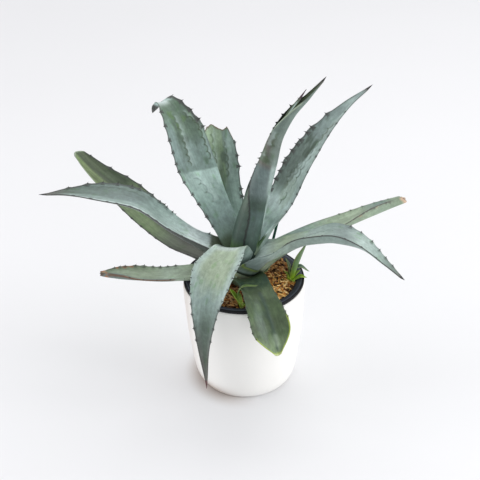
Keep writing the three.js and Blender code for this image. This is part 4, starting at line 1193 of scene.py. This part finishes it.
def bark_material():
    n = Nodes("bark_and_coir")
    place = n.attribute("place", "Vector")
    fibre = n.noise(n.scaled(place, (0.35, 3.0, 3.0)), 1.0, 4.0, 0.65)
    rot = n.noise(place, 0.45, 4.0, 0.6)
    colour = n.shaded(n.attribute("paint", "Color"), n.remap(fibre, 0.3, 0.7, 0.62, 1.30))
    colour = n.mix(n.remap(rot, 0.50, 0.70, 0.0, 0.65), colour, (0.055, 0.028, 0.014))
    return n.finished(colour, 0.85, n.bump(fibre, 0.0005, 0.7), 0.25)


def floor_material():
    """Pale floor, painted darker far back on the left as shade, with a warm painted shadow round
    the pot's left foot.
    """
    n = Nodes("pale_floor")
    cloud = n.noise(n.coordinates(), 1.3, 2.0, 0.5)
    pale, light = (0.825, 0.828, 0.845), (0.835, 0.838, 0.855)
    colour = n.mix(n.remap(cloud, 0.3, 0.7, 0.0, 1.0), pale, light)
    reach, right, x, y, _ = n.round_the_pot()
    # Painted shade: darker towards the back and the left.
    slant = n.math("SUBTRACT", y, n.math("MULTIPLY", x, 0.4))
    colour = n.shaded(colour, n.remap(slant, -0.6, 2.0, 1.0, 0.88))
    # Painted warm shadow round the pot's foot, on its left side.
    shade = n.times(n.remap(reach, 0.105, 0.070, 0.0, 0.55), n.remap(right, 0.35, -0.55, 0.0, 1.0))
    return n.finished(n.mix(shade, colour, (0.40, 0.32, 0.26)), 0.6, shine=0.2)


def rings_round(radius, height, turn):
    """Rings of points round the pots' axis."""
    x, y = radius * np.cos(turn), radius * np.sin(turn)
    return np.stack(np.broadcast_arrays(x, y, height), -1)


def lathe(name, outline, material, node, ripple=0.0):
    """Turned piece from [radius, height] up the outside and back down the inside."""
    radius, height = (column[:, None] for column in np.array(outline, float).T)
    turn = circle(POT_COLUMNS)
    uneven = ripple * noise(turn * 2, height / 40, 0, 5) * np.sin(turn / 2) ** 2
    points = rings_round(radius + uneven, height, turn)
    sheets = Sheets()
    sheets.add(points, tube_faces(*points.shape[:2], turned=True), np.ones(points.shape), points)
    sheets.made(name, material, [node])


def rounded(outline, reach, steps):
    """Softens the corners of an outline, away from the axis."""
    outline = np.array(outline, float)
    soft = [outline[0]]
    for a, b, c in zip(outline[:-2], outline[1:-1], outline[2:]):
        near = min(reach, 0.4 * np.linalg.norm(a - b), 0.4 * np.linalg.norm(c - b))
        start, end = b + unit(a - b) * near, b + unit(c - b) * near
        for x in np.linspace(0, 1, steps):
            soft.append((1 - x) ** 2 * start + 2 * x * (1 - x) * b + x * x * end)
    return [*soft, outline[-1]]


def white_pot(material):
    heights = np.array([4.5, 14, 30, 60, 90, 120, 150, 170])
    radii = np.array([75, 79.5, 83, 87, 90.5, 92.7, 94.2, 95])
    order = np.interp(np.linspace(4.5, 170, 40), heights, np.arange(len(heights)))
    wall = zip(spline(radii, order), spline(heights, order))
    outline = [[0.5, 0], [66, 0], [70, 0.3], [72.6, 1.6], *wall, [94.95, 173], [94.4, 175.8],
               [93.4, 177.5], [92.2, 178], [91, 177.8], [90, 176.8], [89.6, 175.2], [87, 120],
               [81.2, 60], [77.2, 30], [75, 16], [70, 10], [0.5, 8]]
    lathe("white_pot_glazed", outline, material, "white_pot", 0.12)


def nursery_pot(material):
    seat = 178.3
    outline = [[0.5, 20], [62, 20], [65, 20.6], [66, 22], [74, 100], [82.5, seat], [93.2, seat],
               [93.9, 179], [94, 181.8], [93.7, 182.9], [92.8, LIP_TOP], [92.0, 183.45],
               [91.5, 183.0], [91.1, 182.75], [90.4, 182.8], [86.5, 181.95], [83.4, 181.2],
               [82.2, 180.7], [81.3, 180.1], [80.8, 179.2], [80.2, 177], [78, 160], [63.6, 22.4],
               [0.5, 22.4]]
    outline = rounded(outline, 0.5, 3)
    lathe("nursery_pot_black", outline, material, "nursery_pot")


# Chip tints in painted shade and in painted light.
SHADED_MIX_TINT = np.array([0.56, 0.46, 0.44])
LIT_MIX_TINT = np.array([1.35, 1.30, 1.20])
CHIPS = 1900
HEAP_PLACE, HEAP_HEIGHT, HEAP_REACH = (50.0, 54.0), 10.0, 15.0
STAKE_IN_MIX = (40.0, 55.0)
CHIP_COLOURS = [((0.74, 0.46, 0.16), 0.34), ((0.54, 0.25, 0.06), 0.22), ((0.86, 0.62, 0.30), 0.20),
                ((0.24, 0.09, 0.03), 0.14), ((0.05, 0.022, 0.012), 0.10)]


def mix_colour(draw):
    pick = draw()
    for colour, share in CHIP_COLOURS:
        if pick < share:
            break
        pick -= share
    return np.array(colour) * (0.8 + 0.4 * draw())


def heaped(x, y):
    """Rise of the mix where it is heaped against the lip, behind the stake."""
    far = (x - HEAP_PLACE[0]) ** 2 + (y - HEAP_PLACE[1]) ** 2
    return HEAP_HEIGHT * np.exp(-far / (2 * HEAP_REACH**2))


def potting_mix(material):
    """Dark crumbly ground under many splinters of bark and coir."""
    turn = circle(180)
    top = rings_round(np.linspace(MIX_RADIUS - 0.2, 0.6, 46)[:, None], 0.0, turn)
    x, y = top[..., 0], top[..., 1]
    rise = 1.6 * fractal(x / 14, y / 14, 0, 3) + 0.9 * fractal(x / 3.5, y / 3.5, 0, 4)
    top[..., 2] = MIX_TOP - 0.6 + rise + heaped(x, y)
    wall = np.array([[63.2, 22.7], [MIX_RADIUS - 0.4, MIX_TOP - 4]])
    points = np.concatenate([rings_round(*wall.T[..., None], turn), top])
    tone = 0.5 + 0.5 * fractal(points[..., 0] / 5, points[..., 1] / 5, 0, 6)
    colour = blended(np.full(points.shape, 0.02) * (1.6, 1.0, 0.7), (0.20, 0.095, 0.04), tone)
    sheets = Sheets()
    sheets.add(points, tube_faces(*points.shape[:2], turned=True), colour, points)
    draw = seeded(SEED + 901)
    kept_clear = [((0.0, 0.0), STEM_RADIUS + 4), (STAKE_IN_MIX, 6.5)]
    kept_clear += [(place, 7) for place, _ in PUPS.values()]
    for _ in range(CHIPS):
        radius = (MIX_RADIUS - 2.5) * math.sqrt(draw())
        bearing = WHOLE_TURN * draw()
        spot = (radius * math.cos(bearing), radius * math.sin(bearing))
        size, heap = draw(), draw()
        shape = [draw() for _ in range(6)]
        tint = mix_colour(draw)
        # Painted light and shade: chips lighter at the front right, darker to the left and back.
        lit = smooth(25, -12, spot[1]) * smooth(0, 22, spot[0])
        if all(math.dist(spot, s) >= r for s, r in kept_clear):
            chip(sheets, spot, size, heap, shape, tint * (SHADED_MIX_TINT + (LIT_MIX_TINT - SHADED_MIX_TINT) * lit))
    sheets.made("potting_mix_bark", material, ["potting_mix"])


def chip(sheets, spot, size, heap, shape, tint):
    """One splinter: a bent, tapering, uneven bar."""
    length = 5.0 + 11.0 * size**1.8
    wide, deep = 0.8 + 1.3 * shape[0], 0.45 + 0.7 * shape[1]
    yaw, pitch = WHOLE_TURN * shape[2], math.radians(-26 + 52 * shape[3])
    bend = 0.9 * (shape[4] - 0.5)
    stations = np.array([[-0.5], [-0.2], [0.15], [0.5]])
    girth = np.array([[0.45], [1.0], [0.9], [0.3]]) * (0.85 + 0.3 * shape[5])
    corners = np.array([[-1, -1], [1, -0.8], [0.9, 1], [-0.8, 0.9]])
    along = stations * length * np.ones(4)
    aside = corners[:, 0] * wide * girth
    above = corners[:, 1] * deep * girth + bend * 4 * stations * stations
    x = along * math.cos(pitch) - above * math.sin(pitch)
    z = along * math.sin(pitch) + above * math.cos(pitch)
    world = np.stack([spot[0] + x * math.cos(yaw) - aside * math.sin(yaw),
                      spot[1] + x * math.sin(yaw) + aside * math.cos(yaw),
                      MIX_TOP + 0.4 + 2.8 * heap + z + heaped(*spot)], -1)
    shade = np.linspace(0.86, 1.1, 4)[:, None, None] * np.ones((4, 4, 3)) * tint
    place = np.stack([along, aside, above], -1) + [spot[0] * 3, spot[1] * 3, 50 * shape[2]]
    sheets.add_tube(world, shade, place)


def stem_piece(material):
    """Short stem, ribbed by the scars of old leaf bases."""
    radii = [STEM_RADIUS, STEM_RADIUS, STEM_RADIUS, 19, 17.2, 14]
    heights = [150.3, 175, 196, 208, 220, 221]
    order = np.arange(len(radii))
    t = np.linspace(0, order[-1], 60)
    radius, z = (np.interp(t, order, column)[:, None] for column in (radii, heights))
    turn = circle(96)
    scar = np.abs(np.sin(z / 5.5 + 1.2 * np.sin(turn) + 0.6 * np.sin(3 * turn)))
    radius = radius - 0.9 * (1 - scar**0.5) - 0.3 * noise(turn * 6, z / 9, 0, 8)
    points = rings_round(np.minimum(radius, STEM_RADIUS), z, turn)
    tone = fractal(turn * 3, z / 12, 0, 9)
    colour = blended(np.full(points.shape, SAGE), PALE_LIME, 0.4 * smooth(-0.3, 0.6, tone))
    colour = blended(colour, BROWN, 0.7 * smooth(192, 180, z + 6 * tone) + 0.5 * (1 - scar) ** 3)
    sheets = Sheets()
    sheets.add(points, tube_faces(*points.shape[:2], turned=True), colour, points)
    withered = (0.075, 0.11, 0.055)
    line = [[16, 4], [26, 8], [36, 10], [44, 14]]
    pup_leaf(sheets, (0, 0), SEED + 340, 22, line, 12.5, 55, withered, withered)
    sheets.made("stem_scarred", material, ["stem"])


def stake_piece(material):
    """Thin plastic stake with fine flutes and a blunt point."""
    length, lean, azimuth = 138.0, math.radians(20), math.radians(44)
    foot = np.array([35, 50, 160.0])
    aside = math.sin(lean)
    axis = np.array([aside * math.cos(azimuth), aside * math.sin(azimuth), math.cos(lean)])
    side = unit(np.cross(axis, [0, 0, 1.0]))
    other = np.cross(axis, side)
    at = np.concatenate([[0, 1.2, 3], np.linspace(5, length - 3, 60), [length - 1, length]])
    wide = np.full(len(at), 2.15)
    wide[:3] = (0.6, 1.5, 2.0)
    wide[-2:] = (1.9, 1.3)
    turn = circle(32)
    girth = wide[:, None] * (1 - 0.05 * np.cos(turn * 8) ** 2)
    points = foot + axis * at[:, None, None] + wheel(side, other, girth, girth, turn)
    sheets = Sheets()
    sheets.add_tube(points, np.ones(points.shape), points)
    sheets.made("plant_stake_green", material, ["plant_stake"])


# For each leaf of a young shoot its azimuth, line, half width, curl and colour.
PUPS = {
    "pup_right": ((73.5, -4.0), [
        (-46, [[0, 0], [7, 24], [17, 52], [30, 81]], 7.4, 30, (0.085, 0.17, 0.05)),
        (0, [[0, 0], [4, 20], [14, 26], [26, 18]], 4.4, 55, (0.10, 0.17, 0.12)),
        (-8, [[0, 0], [8, 5], [15, 9], [22, 8]], 4.0, 50, (0.24, 0.40, 0.014)),
        (12, [[0, 0], [4, 8], [8, 13], [13, 17]], 3.6, 40, (0.22, 0.38, 0.014)),
        (-75, [[0, 0], [4, 4], [8, 7], [12, 7]], 3.6, 40, FRESH_SHOOT),
        (165, [[0, 0], [2, 13], [4, 26], [8, 39]], 5.0, 45, (0.085, 0.14, 0.065)),
        (185, [[0, 0], [3, 7], [6, 13], [10, 18]], 4.2, 50, (0.24, 0.38, 0.014)),
        (-130, [[0, 0], [4, 4], [7, 8], [9, 12]], 3.6, 40, (0.24, 0.40, 0.014)),
    ]),
    "pup_front": ((-4.0, -72.0), [
        (172, [[0, 0], [5, 12], [12, 23], [17, 31]], 5.0, 45, (0.20, 0.36, 0.014)),
        (150, [[0, 0], [2, 10], [4, 18], [5, 25]], 3.6, 45, (0.16, 0.30, 0.02)),
        (-12, [[0, 0], [-6, 22], [2, 38], [22, 42]], 2.3, 50, (0.075, 0.15, 0.045)),
        (-20, [[0, 0], [2, 4], [5, 7], [7, 10]], 3.4, 50, (0.22, 0.36, 0.014)),
    ]),
}


def pup_leaf(sheets, place, seed, azimuth, line, widest, curl, tint, foot=FRESH_SHOOT):
    """Narrow blade of a young shoot."""
    azimuth, bend = math.radians(azimuth), math.radians(curl)
    reach, height = np.array(line, float).T
    rows = np.stack([reach * math.cos(azimuth), reach * math.sin(azimuth), MIX_TOP - 1 + height], 1)
    t = np.linspace(0, 3, 44)
    frames, x = lengthened(frames_along(rows, t, azimuth), 3, 6)
    centre, _, level, upper = frames
    fade = np.maximum(1 - x, 0.05)
    half = np.maximum(spline([0.6 * widest, 0.92 * widest, 1.05 * widest, 0.9], t), 0.9)
    half = np.concatenate([half, half[-1] * fade])
    thick = spline([3, 2.2, 1.6, 1], t)
    thick = np.concatenate([thick, thick[-1] * fade])[:, None]
    u = np.concatenate([np.linspace(-1, 1, 11), np.linspace(1, -1, 11)])
    lower = np.repeat([0.0, 1.0], 11)
    radius = (half / bend)[:, None]
    edge = np.minimum(MARGIN_THICKNESS, thick)
    depth = (edge + (thick - edge) * (1 - np.abs(u) ** 1.8)) * lower
    away = level[:, None] * np.sin(bend * u)[:, None] - upper[:, None] * np.cos(bend * u)[:, None]
    points = (centre + upper * radius)[:, None] + away * (radius + depth)[..., None]
    points = points + [*place, 0.0]
    tt = np.linspace(0, 1, len(centre))[:, None] + 0 * u
    streak = fractal(tt * 3, u * 3, lower * 5, seed)
    colour = blended(np.full(points.shape, tint), foot, smooth(0.45, 0.0, tt))
    colour = blended(colour, colour * 0.6, 0.6 * smooth(0, 0.8, streak))
    colour = blended(colour, (0.50, 0.58, 0.20), 0.35 * smooth(0.85, 1.0, np.abs(u)))
    colour = blended(colour, BROWN, smooth(0.93, 0.99, tt))
    places = [tt * 60, u * widest + 0 * tt, 30 * lower + 0 * tt]
    sheets.add_tube(points, colour, np.stack(places, -1))


def pup_piece(name, material):
    place, leaves = PUPS[name]
    turn = circle(28)
    radius = np.array([[3.9], [4], [4], [3.4], [2.6], [1.4], [0.2]]) * (1 + 0.05 * np.sin(turn * 5))
    height = np.array([[165.4], [172], [178], [181], [184], [185.2], [185.6]])
    points = rings_round(radius, height, turn) + [*place, 0.0]
    colour = np.full(points.shape, (0.44, 0.54, 0.10))
    colour = blended(colour, (0.55, 0.50, 0.30), smooth(180, 174, points[..., 2]))
    sheets = Sheets()
    sheets.add_tube(points, colour, points)
    for index, leaf in enumerate(leaves):
        pup_leaf(sheets, place, SEED + 300 + index, *leaf)
    sheets.made(name + "_shoot", material, [name])


def stage_floor():
    reach = 8.0
    corners = [(-reach, -reach, 0), (reach, -reach, 0), (reach, reach, 0), (-reach, reach, 0)]
    mesh = bpy.data.meshes.new("stage_floor")
    mesh.from_pydata(corners, [], [(0, 1, 2, 3)])
    mesh.materials.append(floor_material())
    floor = linked("stage_floor", mesh)
    floor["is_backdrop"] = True


def stood(item, right, up, back, place):
    rows = [[right[k], up[k], back[k], place[k]] for k in range(3)]
    item.matrix_world = Matrix(rows + [[0, 0, 0, 1]])


def lamp(name, place, target, size, watts, colour):
    data = bpy.data.lights.new(name, "AREA")
    data.shape = "RECTANGLE"
    data.size, data.size_y = size
    data.energy = watts
    data.color = colour
    back = unit(np.subtract(place, target))
    right = unit(np.cross([0, 0, 1.0], back))
    stood(linked(name, data), right, np.cross(back, right), back, place)


def studio():
    world = bpy.data.worlds.new("studio")
    world.use_nodes = True
    background = world.node_tree.nodes["Background"]
    background.inputs["Color"].default_value = ROOM_COLOUR
    background.inputs["Strength"].default_value = ROOM_STRENGTH
    bpy.context.scene.world = world
    lamp("key_right", (0.45, 1.75, 2.8), (0, 0, 0.1), (2.6, 2.6), 30, WARM_WHITE)
    lamp("fill_front", (3.1, -0.75, 0.9), (0, 0, 0.12), (2.0, 1.4), 46, WARM_WHITE)
    lamp("fill_left", (-3.0, 0.2, 0.7), (0, 0, 0.10), (1.8, 1.0), 32, (1.0, 0.995, 0.99))
    bpy.context.scene.view_settings.view_transform = "Standard"


def camera():
    """Looks down at the plant from the front, level apart from a slight roll."""
    back = np.array([0, -math.cos(CAMERA_PITCH), math.sin(CAMERA_PITCH)])
    level = np.array([1.0, 0, 0])
    upper = np.cross(back, level)
    cos, sin = math.cos(CAMERA_ROLL), math.sin(CAMERA_ROLL)
    data = bpy.data.cameras.new("camera")
    data.sensor_width = SENSOR
    data.lens = LENS
    data.clip_end = 50
    item = linked("camera", data)
    place = np.array(CAMERA_PLACE) * MM
    stood(item, level * cos - upper * sin, level * sin + upper * cos, back, place)
    bpy.context.scene.camera = item


SLOTS = {"leaf_left_blunt": "green_leaf", "leaf_front_cut": "green_leaf"}
MATERIALS = {
    "bloom_leaf": leaf_material("waxy_bloom_leaf"),
    "green_leaf": leaf_material("waxy_green_leaf", 0.46, 0.05),
}

for number, (name, leaf) in enumerate(LEAVES.items()):
    sheets = Sheets()
    blade(sheets, leaf, SEED + 1000 + 77 * number, SEED + (5 if leaf.on_roll else 17 * number))
    slot = SLOTS.get(name, "bloom_leaf")
    sheets.made(name + "_blade", MATERIALS[slot], [name])

spindle(leaf_material("waxy_bud_leaf", 0.5, 0.06))
stem_piece(leaf_material("stem_skin", 0.6, 0.05))
pup_material = leaf_material("young_leaf", 0.42, 0.03)
for name in PUPS:
    pup_piece(name, pup_material)
white_pot(ceramic_material())
black, worn, lip_sheen_tone = (0.006, 0.0065, 0.008), (0.022, 0.023, 0.026), (0.040, 0.046, 0.062)
nursery_pot(plastic_material("black_plastic", black, worn, 0.62, 0.22, lip_sheen_tone))
potting_mix(bark_material())
green, light_green = (0.004, 0.060, 0.035), (0.012, 0.10, 0.065)
stake_piece(plastic_material("green_plastic", green, light_green, 0.5, 0.3))
stage_floor()
studio()
camera()


def plain(bounds):
    return [[float(x) for x in corner] for corner in bounds]


{"cad": plain(CAD_BOUNDS), "visual": plain(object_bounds())}
